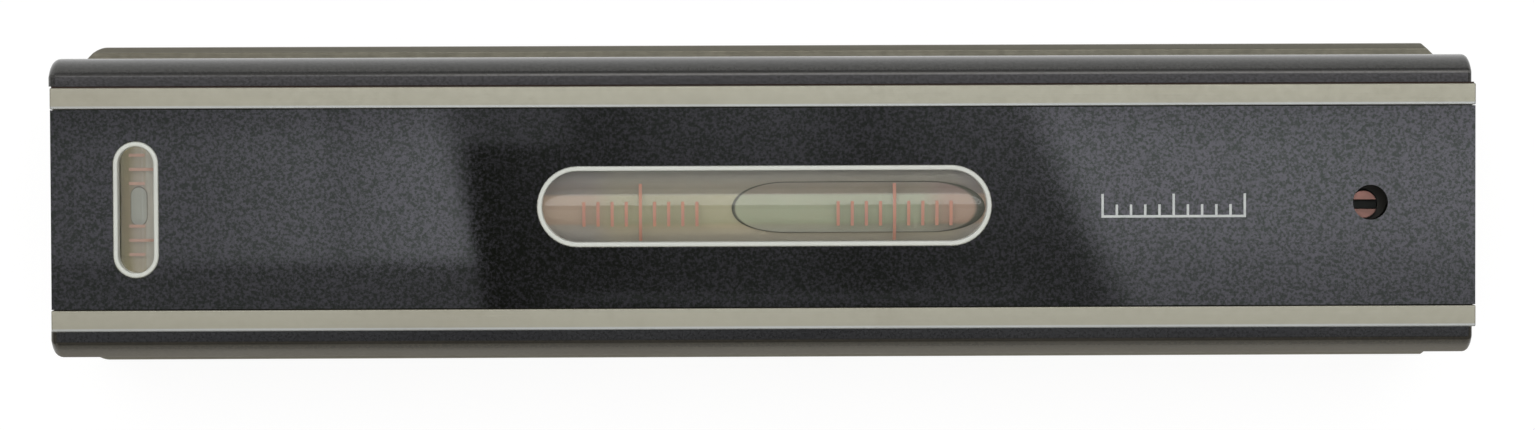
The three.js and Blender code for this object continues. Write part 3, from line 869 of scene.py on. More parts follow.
@dataclass(frozen=True)
class TurnedMetal(WornFinish):
    """Turned or milled metal with fine tool marks, with painted shade in its sunk part if it has
    one.
    """

    fine: Grain = Grain((2400.0, 2400.0, 2400.0), 3.0)
    broad: Grain = Grain((260.0, 260.0, 260.0), 3.0)
    worn_fade: Fade = (0.4, 0.75, 0.0, 0.7)
    broad_reach: Span = (-0.04, 0.08)
    fine_reach: Span = (-0.03, 0.03)
    texture: Texture = (0.01 * MM, 0.4)
    recess_shade: Colour = (0.018, 0.019, 0.018)
    recess_below: float | None = None

    def material(self) -> Material:
        """Builds the material.

        Returns:
            The material.
        """
        s = Surface(self.name)
        colour, roughness, normal = self.base(s)
        if self.recess_below is not None:
            # Painted shade: everything below the level is painted dark, where shade falls in the
            # slot.
            sunk = s.maths("LESS_THAN", s.height, self.recess_below)
            colour = s.blend(sunk, colour, self.recess_shade)
        return s.done(s.principled(colour, roughness, metallic=1.0, normal=normal))


@dataclass(frozen=True)
class SkyPatch:
    """A soft-edged rectangle of the sky, by how far it leans from the zenith along X and Y."""

    lean_x: Span
    soft_x: float
    lean_y: Span
    soft_y: float
    light: float = 1.0

    def mask(self, r: Recipe, lean_x: Value, lean_y: Value) -> Socket:
        """Gives 1 inside the patch and 0 outside.

        Args:
            r: The world's recipe.
            lean_x: How far a direction leans along X.
            lean_y: How far it leans along Y.

        Returns:
            The mask's socket.
        """
        return r.maths(
            "MULTIPLY", r.between(lean_x, *self.lean_x, self.soft_x),
            r.between(lean_y, *self.lean_y, self.soft_y))


@dataclass(frozen=True)
class SkyEdge:
    """A slanting soft edge in the sky: its lean along X at one lean along Y, and its slant."""

    lean_x: float
    lean_y: float
    slant: float

    def passed(self, r: Recipe, lean_x: Value, lean_y: Value, soft: Value) -> Socket:
        """Gives 0 on the left of the edge and 1 on its right.

        Args:
            r: The world's recipe.
            lean_x: How far a direction leans along X.
            lean_y: How far it leans along Y.
            soft: Half the edge's width.

        Returns:
            The mask's socket.
        """
        shift = r.maths("MULTIPLY", r.maths("SUBTRACT", lean_y, self.lean_y), self.slant)
        offset = r.maths("SUBTRACT", r.maths("SUBTRACT", lean_x, shift), self.lean_x)
        return r.spread(r.maths("DIVIDE", offset, soft), -1.0, 1.0, smooth=True)


@dataclass(frozen=True)
class StudioSky:
    """The light: a pale dome, a soft box behind the level and two panels over its ends.

    A direction is named by how far it leans from the zenith along X and Y. The flat cover mirrors
    the small part of the sky that the mirror patch takes in.
    """

    dome: Fade = (0.05, 0.6, 0.4, 0.68)
    least_up: float = 0.02
    front: Span = (-0.5, -0.15)
    front_share: float = 0.82
    front_tint: Colour = (1.0, 0.965, 0.90)
    soft_box: SkyPatch = SkyPatch((-0.45, 0.45), 0.05, (0.0283, 0.54), 0.006, 2.8)
    mirror: SkyPatch = SkyPatch((-0.18, 0.18), 0.03, (-0.15, 0.02), 0.008)
    mirror_tint: Colour = (0.99, 1.0, 1.12)
    mirror_gain: float = 1.12
    left_edge: SkyEdge = SkyEdge(-0.0502, -0.0403, -0.165)
    left_soft: Fade = (-0.035, -0.012, 0.0012, 0.0050)
    left_span: Span = (-0.15, -0.05)
    left_stops: Stops = (
        (0.0, 0.50), (0.12, 0.55), (0.38, 0.66), (0.57, 0.82), (0.65, 0.90), (0.71, 0.79),
        (0.78, 0.94), (0.9, 1.10), (1.0, 1.16))
    left_fade: Fade = (-0.0175, -0.0085, 1.0, 0.70)
    low_line: Span = (-0.0424, -0.0408)
    low_light: float = 0.34
    right_edge: SkyEdge = SkyEdge(0.0727, -0.0134, -0.46)
    right_soft: float = 0.0055
    right_span: Span = (-0.0512, -0.0062)
    right_stops: Stops = (
        (0.0, 0.72), (0.05, 0.75), (0.17, 0.87), (0.24, 0.97), (0.34, 1.13), (0.44, 1.18),
        (0.6, 1.23), (0.75, 1.25), (0.84, 1.14), (1.0, 0.95))
    gap_span: Span = (-0.05, 0.062)
    gap_stops: Stops = (
        (0.0, 0.02), (0.13, 0.11), (0.29, 0.14), (0.36, 0.21), (0.6, 0.28), (0.75, 0.17),
        (0.9, 0.27), (1.0, 0.32))
    gap_fade: Fade = (-0.0403, -0.01, 0.6, 1.45)
    glints: tuple[SkyPatch, ...] = (
        SkyPatch((-0.03, 0.07), 0.02, (-0.0507, -0.0493), 0.0006, 0.4),
        SkyPatch((-0.056, -0.030), 0.012, (-0.0162, -0.005), 0.0016, 0.36))

    def build(self) -> None:
        """Fills the scene's world."""
        world = bpy.data.worlds.new("studio")
        bpy.context.scene.world = world
        world.use_nodes = True
        r = Recipe(world.node_tree)
        parts = r.add("ShaderNodeSeparateXYZ")
        r.feed(parts.inputs[0], r.add("ShaderNodeTexCoord").outputs["Generated"])
        x, y, z = parts.outputs
        up = r.maths("MAXIMUM", z, self.least_up)
        lean_x = r.maths("DIVIDE", x, up)
        lean_y = r.maths("DIVIDE", y, up)
        light = r.spread(z, *self.dome, smooth=True)
        front = r.spread(y, *self.front, 1.0, 0.0, smooth=True)
        light = r.maths("MULTIPLY", light, r.spread(front, 0.0, 1.0, 1.0, self.front_share))
        mirrored = self.mirror.mask(r, lean_x, lean_y)
        light = r.layered(mirrored, light, self._panels(r, lean_x, lean_y))
        light = r.layered(self.soft_box.mask(r, lean_x, lean_y), light, self.soft_box.light)
        path = r.add("ShaderNodeLightPath")
        seen = r.maths(
            "MAXIMUM", path.outputs["Is Camera Ray"], path.outputs["Is Transmission Ray"])
        back = r.add("ShaderNodeBackground")
        tint = r.blend(front, WHITE, self.front_tint)
        tint = r.blend(mirrored, tint, self.mirror_tint)
        r.feed(back.inputs["Color"], r.blend(seen, tint, WHITE))
        r.feed(back.inputs["Strength"], r.layered(seen, light, 1.0))
        r.feed(r.add("ShaderNodeOutputWorld").inputs["Surface"], back.outputs[0])

    def _panels(self, r: Recipe, lean_x: Value, lean_y: Value) -> Socket:
        """The part of the sky that the flat cover mirrors: two panels with a dark gap between.

        Args:
            r: The world's recipe.
            lean_x: How far a direction leans along X.
            lean_y: How far it leans along Y.

        Returns:
            The brightness there.
        """
        left = r.ramp(r.spread(lean_x, *self.left_span), self.left_stops)
        left = r.maths("MULTIPLY", left, r.spread(lean_y, *self.left_fade, smooth=True))
        low = r.spread(lean_y, *self.low_line, 1.0, 0.0, smooth=True)
        left = r.layered(low, left, self.low_light)
        right = r.ramp(r.spread(lean_y, *self.right_span), self.right_stops)
        gap = r.ramp(r.spread(lean_x, *self.gap_span), self.gap_stops)
        gap = r.maths("MULTIPLY", gap, r.spread(lean_y, *self.gap_fade))
        for glint in self.glints:
            gap = r.layered(glint.mask(r, lean_x, lean_y), gap, glint.light)
        soft = r.spread(lean_y, *self.left_soft)
        past_left = self.left_edge.passed(r, lean_x, lean_y, soft)
        past_right = self.right_edge.passed(r, lean_x, lean_y, self.right_soft)
        light = r.layered(past_right, r.layered(past_left, left, gap), right)
        return r.maths("MULTIPLY", light, self.mirror_gain)


@dataclass(frozen=True)
class StudioFloor:
    """A plain white floor that keeps a faint shadow of the object."""

    half: float = 3.0
    glow: float = 0.89
    catch: float = 0.17
    bounce: float = 0.78

    def build(self) -> None:
        """Makes the floor."""
        bm = bmesh.new()
        bmesh.ops.create_grid(bm, x_segments=2, y_segments=2, size=self.half)
        mesh = bpy.data.meshes.new("studio_floor")
        bm.to_mesh(mesh)
        bm.free()
        floor = bpy.data.objects.new("studio_floor", mesh)
        bpy.context.scene.collection.objects.link(floor)
        s = Surface("studio_floor")
        shown = s.add("ShaderNodeAddShader")
        glow = s.add("ShaderNodeEmission")
        glow.inputs["Strength"].default_value = self.glow
        catch = s.add("ShaderNodeBsdfDiffuse")
        s.feed(catch.inputs["Color"], (self.catch, self.catch, self.catch))
        s.feed(shown.inputs[0], glow.outputs[0])
        s.feed(shown.inputs[1], catch.outputs[0])
        plain = s.add("ShaderNodeBsdfDiffuse")
        s.feed(plain.inputs["Color"], (self.bounce, self.bounce, self.bounce))
        path = s.add("ShaderNodeLightPath")
        seen = s.maths("MAXIMUM", path.outputs["Is Camera Ray"], path.outputs["Is Glossy Ray"])
        seen = s.maths("MAXIMUM", seen, path.outputs["Is Transmission Ray"])
        floor.data.materials.append(s.done(s.layer(seen, plain.outputs[0], shown.outputs[0])))


@dataclass(frozen=True)
class StudioCamera:
    """The camera, almost straight above the level. Its place and aim are in millimetres."""

    place: Point = (-8.2, 19.5, 692.0)
    aim: Point = (0.41, -1.05, 42.0)
    roll: float = -0.2
    lens: float = 108.72
    sensor: float = 36.0
    reach: float = 50.0

    def build(self) -> None:
        """Makes the camera and hands it to the scene."""
        data = bpy.data.cameras.new("camera")
        data.lens = self.lens
        data.sensor_width = self.sensor
        data.clip_end = self.reach
        camera = bpy.data.objects.new("camera", data)
        bpy.context.scene.collection.objects.link(camera)
        place = Vector(self.place) * MM
        look = (Vector(self.aim) * MM - place).normalized()
        right = look.cross(Vector((0.0, 1.0, 0.0))).normalized()
        top = right.cross(look)
        turn = Matrix((right, top, -look)).transposed()
        turn = turn @ Matrix.Rotation(math.radians(self.roll), 3, "Z")
        camera.matrix_world = Matrix.Translation(place) @ turn.to_4x4()
        bpy.context.scene.camera = camera


class Bench:
    """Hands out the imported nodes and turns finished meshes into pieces."""

    coplanar: float = math.radians(0.4)
    bevelled_from: float = math.radians(35)
    bevel_steps: int = 2

    def __init__(self, frame: dict) -> None:
        """Keeps the frame.

        Args:
            frame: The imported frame.
        """
        self.nodes: dict[str, bpy.types.Object] = frame["nodes"]
        self.left = set(self.nodes)

    def merged(self, node: str) -> Mesh:
        """Copies a node's mesh, merges its loose triangles and joins its flat faces.

        Args:
            node: The node's name.

        Returns:
            The copy, in metres.
        """
        bm = bmesh.new()
        bm.from_mesh(self.nodes[node].data)
        bmesh.ops.remove_doubles(bm, verts=bm.verts, dist=SAME_PLACE)
        bmesh.ops.dissolve_limit(bm, angle_limit=self.coplanar, verts=bm.verts, edges=bm.edges)
        bm.normal_update()
        return bm

    def piece(self, name: str, bm: Mesh, body: Body, slot: Slot,
              material: Material, replaces: Iterable[str] = (),
              smooth: float = 33.0) -> bpy.types.Object:
        """Makes an object of a finished mesh, in metres, and reports it.

        Args:
            name: The piece's name.
            bm: Its mesh, which is used up.
            body: The body it rides on.
            slot: Its material slot; not used.
            material: Its material.
            replaces: The nodes it stands for.
            smooth: Edges flatter than this many degrees are shaded smooth.

        Returns:
            The object.
        """
        for face in bm.faces:
            face.smooth = True
        limit = math.radians(smooth)
        for edge in bm.edges:
            edge.smooth = len(edge.link_faces) == 2 and edge.calc_face_angle(0.0) < limit
        mesh = bpy.data.meshes.new(name)
        bm.to_mesh(mesh)
        bm.free()
        mesh.materials.append(material)
        piece = bpy.data.objects.new(name, mesh)
        bpy.context.scene.collection.objects.link(piece)
        even = piece.modifiers.new("even", "WEIGHTED_NORMAL")
        even.keep_sharp = True
        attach(piece, body.value)
        nodes = tuple(replaces)
        if nodes:
            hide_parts(*nodes)
            self.left -= set(nodes)
        LOG.info("%s: %d faces, rides on %s", name, len(mesh.polygons), body.value)
        return piece

    def finish(self, node: str, material: Material, bevel: float = 0.0) -> None:
        """Gives a kept node its material, and a bevel on its sharp edges if asked.

        Args:
            node: The node's name.
            material: Its material.
            bevel: Width of the bevel in metres.
        """
        piece = self.nodes[node]
        piece.data.materials.clear()
        piece.data.materials.append(material)
        if bevel:
            weld = piece.modifiers.new("weld", "WELD")
            weld.merge_threshold = SAME_PLACE
            edge = piece.modifiers.new("bevel", "BEVEL")
            edge.width = bevel
            edge.segments = self.bevel_steps
            edge.limit_method = "ANGLE"
            edge.angle_limit = self.bevelled_from
        self.left.discard(node)
        LOG.info("%s: kept, finished with %s", node, material.name)


def open_to_light(piece: bpy.types.Object) -> None:
    """Lets soft light past a piece, as the clear vials and windows pass it on inside."""
    piece.visible_diffuse = False


def to_metres(bm: Mesh) -> Mesh:
    """Scales a mesh drawn in millimetres to metres, with its normals outwards.

    Args:
        bm: The mesh.

    Returns:
        The same mesh.
    """
    bmesh.ops.remove_doubles(bm, verts=bm.verts, dist=SAME_PLACE_MM)
    bmesh.ops.recalc_face_normals(bm, faces=bm.faces)
    bmesh.ops.scale(bm, vec=(MM, MM, MM), verts=bm.verts)
    bm.normal_update()
    return bm


def sharp_edges(bm: Mesh, wanted: Callable[[Vector, Vector], bool],
                degrees: float = 35) -> list[bmesh.types.BMEdge]:
    """Finds a mesh's sharp edges that meet a test on their two ends.

    Args:
        bm: The mesh.
        wanted: Says yes or no to the two ends, in metres.
        degrees: The least angle between the two faces.

    Returns:
        The edges.
    """
    least = math.radians(degrees)
    return [
        e for e in bm.edges
        if len(e.link_faces) == 2 and e.calc_face_angle(0.0) > least
        and wanted(e.verts[0].co, e.verts[1].co)
    ]


def round_off(bm: Mesh, edges: list[bmesh.types.BMEdge], width: float,
              steps: int = 3) -> None:
    """Bevels edges round.

    Args:
        bm: The mesh.
        edges: The edges.
        width: The bevel's width, in the mesh's units.
        steps: How many facets it has.
    """
    bmesh.ops.bevel(
        bm, geom=edges, offset=width, offset_type="OFFSET", segments=steps, profile=0.5,
        affect="EDGES", clamp_overlap=True, material=-1)


def block(bm: Mesh, middle: Point, size: Scale) -> None:
    """Adds a plain block to a mesh.

    Args:
        bm: The mesh.
        middle: The block's middle.
        size: Its size along X, Y and Z.
    """
    place = Matrix.Translation(middle) @ Matrix.Diagonal((*size, 1.0))
    bmesh.ops.create_cube(bm, size=1.0, matrix=place)


def spun(section: Iterable[tuple[float, float]], closed: bool, facets: int) -> Mesh:
    """Spins a section about the X axis.

    Args:
        section: Its corners, each a place along X and a radius.
        closed: Whether the last corner joins the first.
        facets: How many facets a whole turn has.

    Returns:
        The mesh.
    """
    bm = bmesh.new()
    corners = [bm.verts.new((x, 0.0, radius)) for x, radius in section]
    following = corners[1:] + corners[:1] if closed else corners[1:]
    edges = [bm.edges.new(pair) for pair in zip(corners, following)]
    bmesh.ops.spin(
        bm, geom=corners + edges, cent=(0, 0, 0), axis=(1, 0, 0), dvec=(0, 0, 0),
        angle=math.tau, steps=facets, use_merge=True, use_duplicate=False)
    bmesh.ops.remove_doubles(bm, verts=bm.verts, dist=SAME_PLACE_MM)
    bmesh.ops.recalc_face_normals(bm, faces=bm.faces)
    return bm


@dataclass
class BodyCasting:
    """The ground cast-iron body."""

    bench: Bench
    top: float = 42.0
    top_slack: float = 0.02
    flange: float = 12.0
    flange_slack: float = 0.1
    flange_from: float = 17.5
    half_length: float = 100.0
    corner: float = 3.0
    corner_slack: float = 0.05
    corner_round: float = 1.7
    edge: float = 0.16

    def build(self) -> None:
        """Softens the outer edges of the casting's copy and dresses it."""
        bm = self.bench.merged("body_casting")
        corner = sharp_edges(bm, self._at_rear_left_corner, degrees=20)
        round_off(bm, corner, self.corner_round * MM, steps=6)
        round_off(bm, sharp_edges(bm, self._at_outside), self.edge * MM)
        self.bench.piece(
            "ground_body", bm, Body.BASE, Slot.IRON, GroundIron().material(), ["body_casting"])

    def _end_from(self) -> float:
        """Gives how far from the middle the chamfered ends start, in metres."""
        return (self.half_length - self.corner - self.corner_slack) * MM

    def _on_flange(self, a: Vector, b: Vector) -> bool:
        """Says whether an edge lies no higher than the flange."""
        return max(a.z, b.z) < (self.flange + self.flange_slack) * MM

    def _at_rear_left_corner(self, a: Vector, b: Vector) -> bool:
        """Says whether an edge stands upright at the left end, on the flange."""
        upright = abs(a.x - b.x) < SAME_PLACE and abs(a.y - b.y) < SAME_PLACE
        return upright and a.x < -self._end_from() and self._on_flange(a, b)

    def _at_outside(self, a: Vector, b: Vector) -> bool:
        """Says whether an edge lies on the top, at an end or along the flange.

        Args:
            a: One end of the edge, in metres.
            b: Its other end.

        Returns:
            Whether it does.
        """
        on_top = min(a.z, b.z) > (self.top - self.top_slack) * MM
        at_end = min(abs(a.x), abs(b.x)) > self._end_from()
        beyond_web = min(abs(a.y), abs(b.y)) > self.flange_from * MM
        return on_top or at_end or (self._on_flange(a, b) and beyond_web)


@dataclass
class TopCover:
    """The lacquered cover, its printed scale and its windows."""

    bench: Bench
    top: float = 41.7
    top_slack: float = 0.01
    edge: float = 0.14
    frame_above: float = 0.1
    frame_edge: float = 0.22
    tick_pitch: float = 2.0
    tick_count: int = 11
    tick_first: float = 47.5
    tick_width: float = 0.34
    tick_short: float = 1.5
    tick_long: float = 3.0
    tick_base: float = -1.45
    tick_film: float = 0.02

    def build(self) -> None:
        """Makes the cover, frames, panes and scale."""
        self._cover()
        frame = MouldedPlastic(
            "frame_enamel", tone(218, 221, 213), tone(208, 211, 204), roughness=0.3, shine=0.5,
            texture=(0.004 * MM, 0.35)).material()
        pane = ClearSheet("window_pane", (0.99, 0.99, 0.985), 1.49).material()
        for which in ("main", "cross"):
            self._frame(which, frame)
            self._pane(which, pane)
        self._scale()

    def _softened(self, node: str, level: float, width: float, steps: int) -> Mesh:
        """Copies a node and rounds its edges above a level.

        Args:
            node: The node's name.
            level: The level, in millimetres.
            width: The rounding's width, in millimetres.
            steps: How many facets it has.

        Returns:
            The copy, in metres.
        """
        bm = self.bench.merged(node)
        edges = sharp_edges(bm, lambda a, b: min(a.z, b.z) > level * MM)
        round_off(bm, edges, width * MM, steps)
        return bm

    def _cover(self) -> None:
        """Makes the cover plate."""
        bm = self._softened("top_cover", self.top - self.top_slack, self.edge, steps=3)
        open_to_light(self.bench.piece(
            "cover_plate", bm, Body.BASE, Slot.COVER, BlackCover().material(), ["top_cover"]))

    def _frame(self, which: str, material: Material) -> None:
        """Makes one window's frame.

        Args:
            which: The window's name.
            material: The frame's material.
        """
        node = f"{which}_window_frame"
        bm = self._softened(node, self.top + self.frame_above, self.frame_edge, steps=4)
        open_to_light(self.bench.piece(
            f"{which}_window_rim", bm, Body.BASE, Slot.FRAME, material, [node]))

    def _pane(self, which: str, material: Material) -> None:
        """Makes one window's pane.

        Args:
            which: The window's name.
            material: The pane's material.
        """
        node = f"{which}_window_pane"
        pane = self.bench.piece(
            f"{which}_window_glass", self.bench.merged(node), Body.BASE, Slot.PANE, material,
            [node])
        pane.visible_shadow = False

    def _scale(self) -> None:
        """Prints a plain row of ticks on a base line, a film's thickness proud."""
        bm = bmesh.new()
        last = self.tick_count - 1
        length = last * self.tick_pitch
        level = self.top + self.tick_film / 2
        block(bm, (self.tick_first + length / 2, self.tick_base, level),
              (length + self.tick_width, self.tick_width, self.tick_film))
        for i in range(self.tick_count):
            height = self.tick_long if i in (0, last // 2, last) else self.tick_short
            middle = self.tick_base + self.tick_width / 2 + height / 2
            block(bm, (self.tick_first + i * self.tick_pitch, middle, level),
                  (self.tick_width, height, self.tick_film))
        bmesh.ops.recalc_face_normals(bm, faces=bm.faces)
        bmesh.ops.scale(bm, vec=(MM, MM, MM), verts=bm.verts)
        paint = Paint("scale_print", tone(206, 210, 208), tone(188, 193, 192), 0.45).material()
        self.bench.piece("cover_scale", bm, Body.BASE, Slot.FRAME, paint)


@dataclass
class SideGrips:
    """The two moulded grips, the strip behind the rear one, and their screws."""

    bench: Bench
    web: float = 17.1
    beyond_web: float = 0.3
    flat: float = 1.6
    bulge: float = 3.9
    standoff: float = 0.2
    end_from: float = 99.0
    left_round: float = 1.4
    right_round: float = 0.7
    border_round: float = 0.25
    top: float = 41.2
    top_slack: float = 0.02
    half_length: float = 99.9
    gasket_low: float = 13.0
    gasket_drop: float = 0.1
    gasket_round: float = 0.04
    screw_round: float = 0.12
    # The rear grip has painted highlights on its rim and border; the front grip has a painted warm
    # reflection on its flank.
    rear: GripLightAndGloss = GripLightAndGloss(0.45, 0.5, 0.0, 0.71, (1.0, 0.99, 0.94), (0.78, 0.76, 0.78))
    front: GripLightAndGloss = GripLightAndGloss(0.0, 0.0, 0.5, 0.50, (1.0, 0.88, 0.58), (0.97, 0.99, 1.0))

    def build(self) -> None:
        """Dresses both grips and their screws, and adds the strip."""
        self._grip("rear", self.web + self.standoff, self.rear)
        self._grip("front", self.web, self.front)
        self._gasket()
        screw = TurnedMetal(
            "blackened_screw", (0.12, 0.12, 0.125), (0.06, 0.06, 0.06), 0.3).material()
        for side in ("rear", "front"):
            for number in (1, 2, 3):
                self.bench.finish(f"{side}_grip_screw_{number}", screw, self.screw_round * MM)

    def _grip(self, side: str, face: float, light_and_gloss: GripLightAndGloss) -> None:
        """Softens one grip's copy and dresses it.

        Args:
            side: Its side.
            face: How far its inner face is from the middle, in millimetres.
            light_and_gloss: Its painted highlights, its painted warm reflection and its gloss.
        """
        plastic = GripPlastic(
            f"{side}_grip_plastic", rim=(face + self.bulge) * MM, border=(face + self.flat) * MM,
            light_and_gloss=light_and_gloss)
        bm = self.bench.merged(f"{side}_grip")
        left = sharp_edges(bm, self._at_left, degrees=50)
        round_off(bm, left, self.left_round * MM, steps=5)
        right = sharp_edges(bm, self._at_right, degrees=50)
        round_off(bm, right, self.right_round * MM, steps=4)
        border = sharp_edges(bm, self._at_border, degrees=20)
        round_off(bm, border, self.border_round * MM)
        self.bench.piece(
            f"{side}_side_grip", bm, Body.BASE, Slot.GRIP, plastic.material(), [f"{side}_grip"])

    def _gasket(self) -> None:
        """Fills the narrow gap between the body and the rear grip with a dark strip."""
        bm = bmesh.new()
        low, high = self.gasket_low, self.top - self.gasket_drop
        block(bm, (0.0, self.web + self.standoff / 2, (low + high) / 2),
              (2 * self.half_length, self.standoff, high - low))
        round_off(bm, list(bm.edges), self.gasket_round, steps=2)
        rubber = MouldedPlastic(
            "gasket_rubber", tone(62, 44, 36), tone(50, 38, 32), roughness=0.7,
            shine=0.2).material()
        self.bench.piece("rear_grip_gasket", to_metres(bm), Body.BASE, Slot.GRIP, rubber)

    def _outside_web(self, a: Vector, b: Vector) -> bool:
        """Says whether an edge reaches beyond the web."""
        return max(abs(a.y), abs(b.y)) > (self.web + self.beyond_web) * MM

    def _at_left(self, a: Vector, b: Vector) -> bool:
        """Says whether an edge is on the left end face and outside the web."""
        return max(a.x, b.x) < -self.end_from * MM and self._outside_web(a, b)

    def _at_right(self, a: Vector, b: Vector) -> bool:
        """Says whether an edge is on the right end face and outside the web."""
        return min(a.x, b.x) > self.end_from * MM and self._outside_web(a, b)

    def _at_border(self, a: Vector, b: Vector) -> bool:
        """Says whether an edge runs along the outer border of the flat top."""
        on_top = min(a.z, b.z) > (self.top - self.top_slack) * MM
        return on_top and min(abs(a.y), abs(b.y)) > (self.web + self.beyond_web) * MM


@dataclass(frozen=True)
class BubbleShape:
    """A bubble's sizes in millimetres, its place from the vial's middle and its finish.

    It leans to one side by an angle in radians, and its painted dark rim grows wider at its far end
    by the dusk, as painted shade.
    """

    length: float
    width: float
    depth: float
    at: float
    end: float
    lean: float
    dusk: float
    skin: BubbleSkin
    film: float = 0.03
    bluntness: float = 0.2
    smooth: float = 60.0


@dataclass(frozen=True)
class StopperShape:
    """The sizes of a vial's two end plugs in millimetres, and the names of the ends they close."""

    ends: tuple[str, str]
    radius: float
    length: float
    nose: float
    step: float = 1.0


@dataclass(frozen=True)
class Graduation:
    """A vial's painted marks: the place of each, and whether it is a long one."""

    marks: tuple[tuple[float, bool], ...]
    width: float
    short: Span
    long: Span
    paint: Paint
    film: float = 0.02
    steps: int = 10


@dataclass
class Vial:
    """A glass vial with its end plugs, its spirit, its bubble and its graduation.

    Sizes are in millimetres and angles in radians. An edge sharper than the ring angle is one of
    the rings around an end. The glass is rounded there by a share of its wall.
    """

    bench: Bench
    label: str
    lie: Lie
    body: Body
    bubble_body: Body
    centre: Point
    length: float
    radius: float
    bore: float
    glass: ClearSheet
    spirit_radius: float
    spirit_length: float
    spirit: SpiritColumn
    bubble: BubbleShape
    stoppers: StopperShape
    graduation: Graduation
    spirit_film: float = 0.05
    spirit_round: float = 0.3
    swell_from: float = math.radians(60)
    swell_to: float = math.radians(85)
    glass_round: float = 0.3
    ring_angle: float = 1.0
    facets: int = 96

    def build(self) -> None:
        """Makes the vial's pieces."""
        self._glass()
        self._stoppers()
        self._spirit()
        self._bubble()
        self._marks()

    def _placed(self, bm: Mesh) -> Mesh:
        """Turns a mesh drawn along X about the origin to where the vial lies.

        Args:
            bm: The mesh, in millimetres.

        Returns:
            The same mesh, in metres.
        """
        if self.lie is Lie.ACROSS:
            turn = Matrix.Rotation(math.pi / 2, 3, "Z")
            bmesh.ops.rotate(bm, cent=(0, 0, 0), matrix=turn, verts=bm.verts)
        bmesh.ops.translate(bm, vec=self.centre, verts=bm.verts)
        return to_metres(bm)

    def _glass(self) -> None:
        """Spins the wall's section and fire-polishes its ends."""
        end = self.length / 2
        bm = spun(
            ((-end, self.bore), (end, self.bore), (end, self.radius), (-end, self.radius)),
            True, self.facets)
        rings = [
            e for e in bm.edges
            if abs(e.verts[0].co.x - e.verts[1].co.x) < SAME_PLACE_MM
            and e.calc_face_angle(0.0) > self.ring_angle
        ]
        round_off(bm, rings, (self.radius - self.bore) * self.glass_round)
        tube = self.bench.piece(
            f"{self.label}_tube", self._placed(bm), self.body, Slot.GLASS,
            self.glass.material(), [f"{self.label}_glass"])
        tube.visible_shadow = False

    def _stoppers(self) -> None:
        """Spins the two end plugs, each with a slimmer nose that the bubble can slide over."""
        plug = self.stoppers
        material = cement(f"{self.label}_cement").material()
        outer = self.length / 2
        face = outer - plug.length
        shoulder = face + plug.step
        section = (
            (outer, 0.0), (outer, plug.radius), (shoulder, plug.radius), (shoulder, plug.nose),
            (face, plug.nose), (face, 0.0))
        for side, end in zip((-1, 1), plug.ends):
            bm = spun(((side * x, radius) for x, radius in section), False, self.facets)
            self.bench.piece(
                f"{self.label}_stopper_{end}", self._placed(bm), self.body, Slot.GLASS, material,
                [f"{self.label}_plug_{end}"])

    def _spirit(self) -> None:
        """Makes the column of spirit, which swells to near the bore at its flanks."""
        bm = bmesh.new()
        turn = Matrix.Rotation(math.pi / 2, 4, "Y")
        bmesh.ops.create_cone(
            bm, cap_ends=True, segments=self.facets, radius1=self.spirit_radius,
            radius2=self.spirit_radius, depth=self.spirit_length, matrix=turn)
        rings = [e for e in bm.edges if e.calc_face_angle(0.0) > self.ring_angle]
        round_off(bm, rings, self.spirit_round)
        swell = (self.bore - self.spirit_film) / self.spirit_radius - 1
        for vert in bm.verts:
            _, y, z = vert.co
            angle = math.atan2(abs(y), z)
            share = (angle - self.swell_from) / (self.swell_to - self.swell_from)
            share = min(1.0, max(0.0, share))
            grow = 1 + swell * share * share * (3 - 2 * share)
            vert.co.y *= grow
            vert.co.z *= grow
        self.bench.piece(
            f"{self.label}_spirit", self._placed(bm), self.body, Slot.SPIRIT,
            self.spirit.material(), [f"{self.label}_liquid"])

    def _bubble(self) -> None:
        """Shapes the bubble: a long drop that lies against the top of the bore."""
        shape = self.bubble
        bm = bmesh.new()
        bmesh.ops.create_uvsphere(
            bm, u_segments=self.facets, v_segments=self.facets // 2, radius=1.0)
        mark = bm.verts.layers.float.new(shape.skin.rim_mark)
        half_depth = shape.depth / 2
        reach = shape.length / 2 - shape.end
        crown = self.bore - shape.film
        for vert in bm.verts:
            x, y, z = vert.co
            # The mark places the painted dark rim; the dusk widens it towards the far end as
            # painted shade.
            vert[mark] = abs(z) * (1 - shape.dusk * max(0.0, x))
            flat = math.copysign(abs(z) ** shape.bluntness, z)
            along = x * shape.end
            if abs(x) > SAME_PLACE_MM:
                along += math.copysign(reach, x)
            distance = crown - half_depth * (1 - flat)
            angle = y * shape.width / 2 / crown - shape.lean
            vert.co = (
                along + shape.at, -distance * math.sin(angle), distance * math.cos(angle))
        self.bench.piece(
            f"{self.label}_air", self._placed(bm), self.bubble_body, Slot.BUBBLE,
            shape.skin.material(), [f"{self.label}_bubble"], shape.smooth)

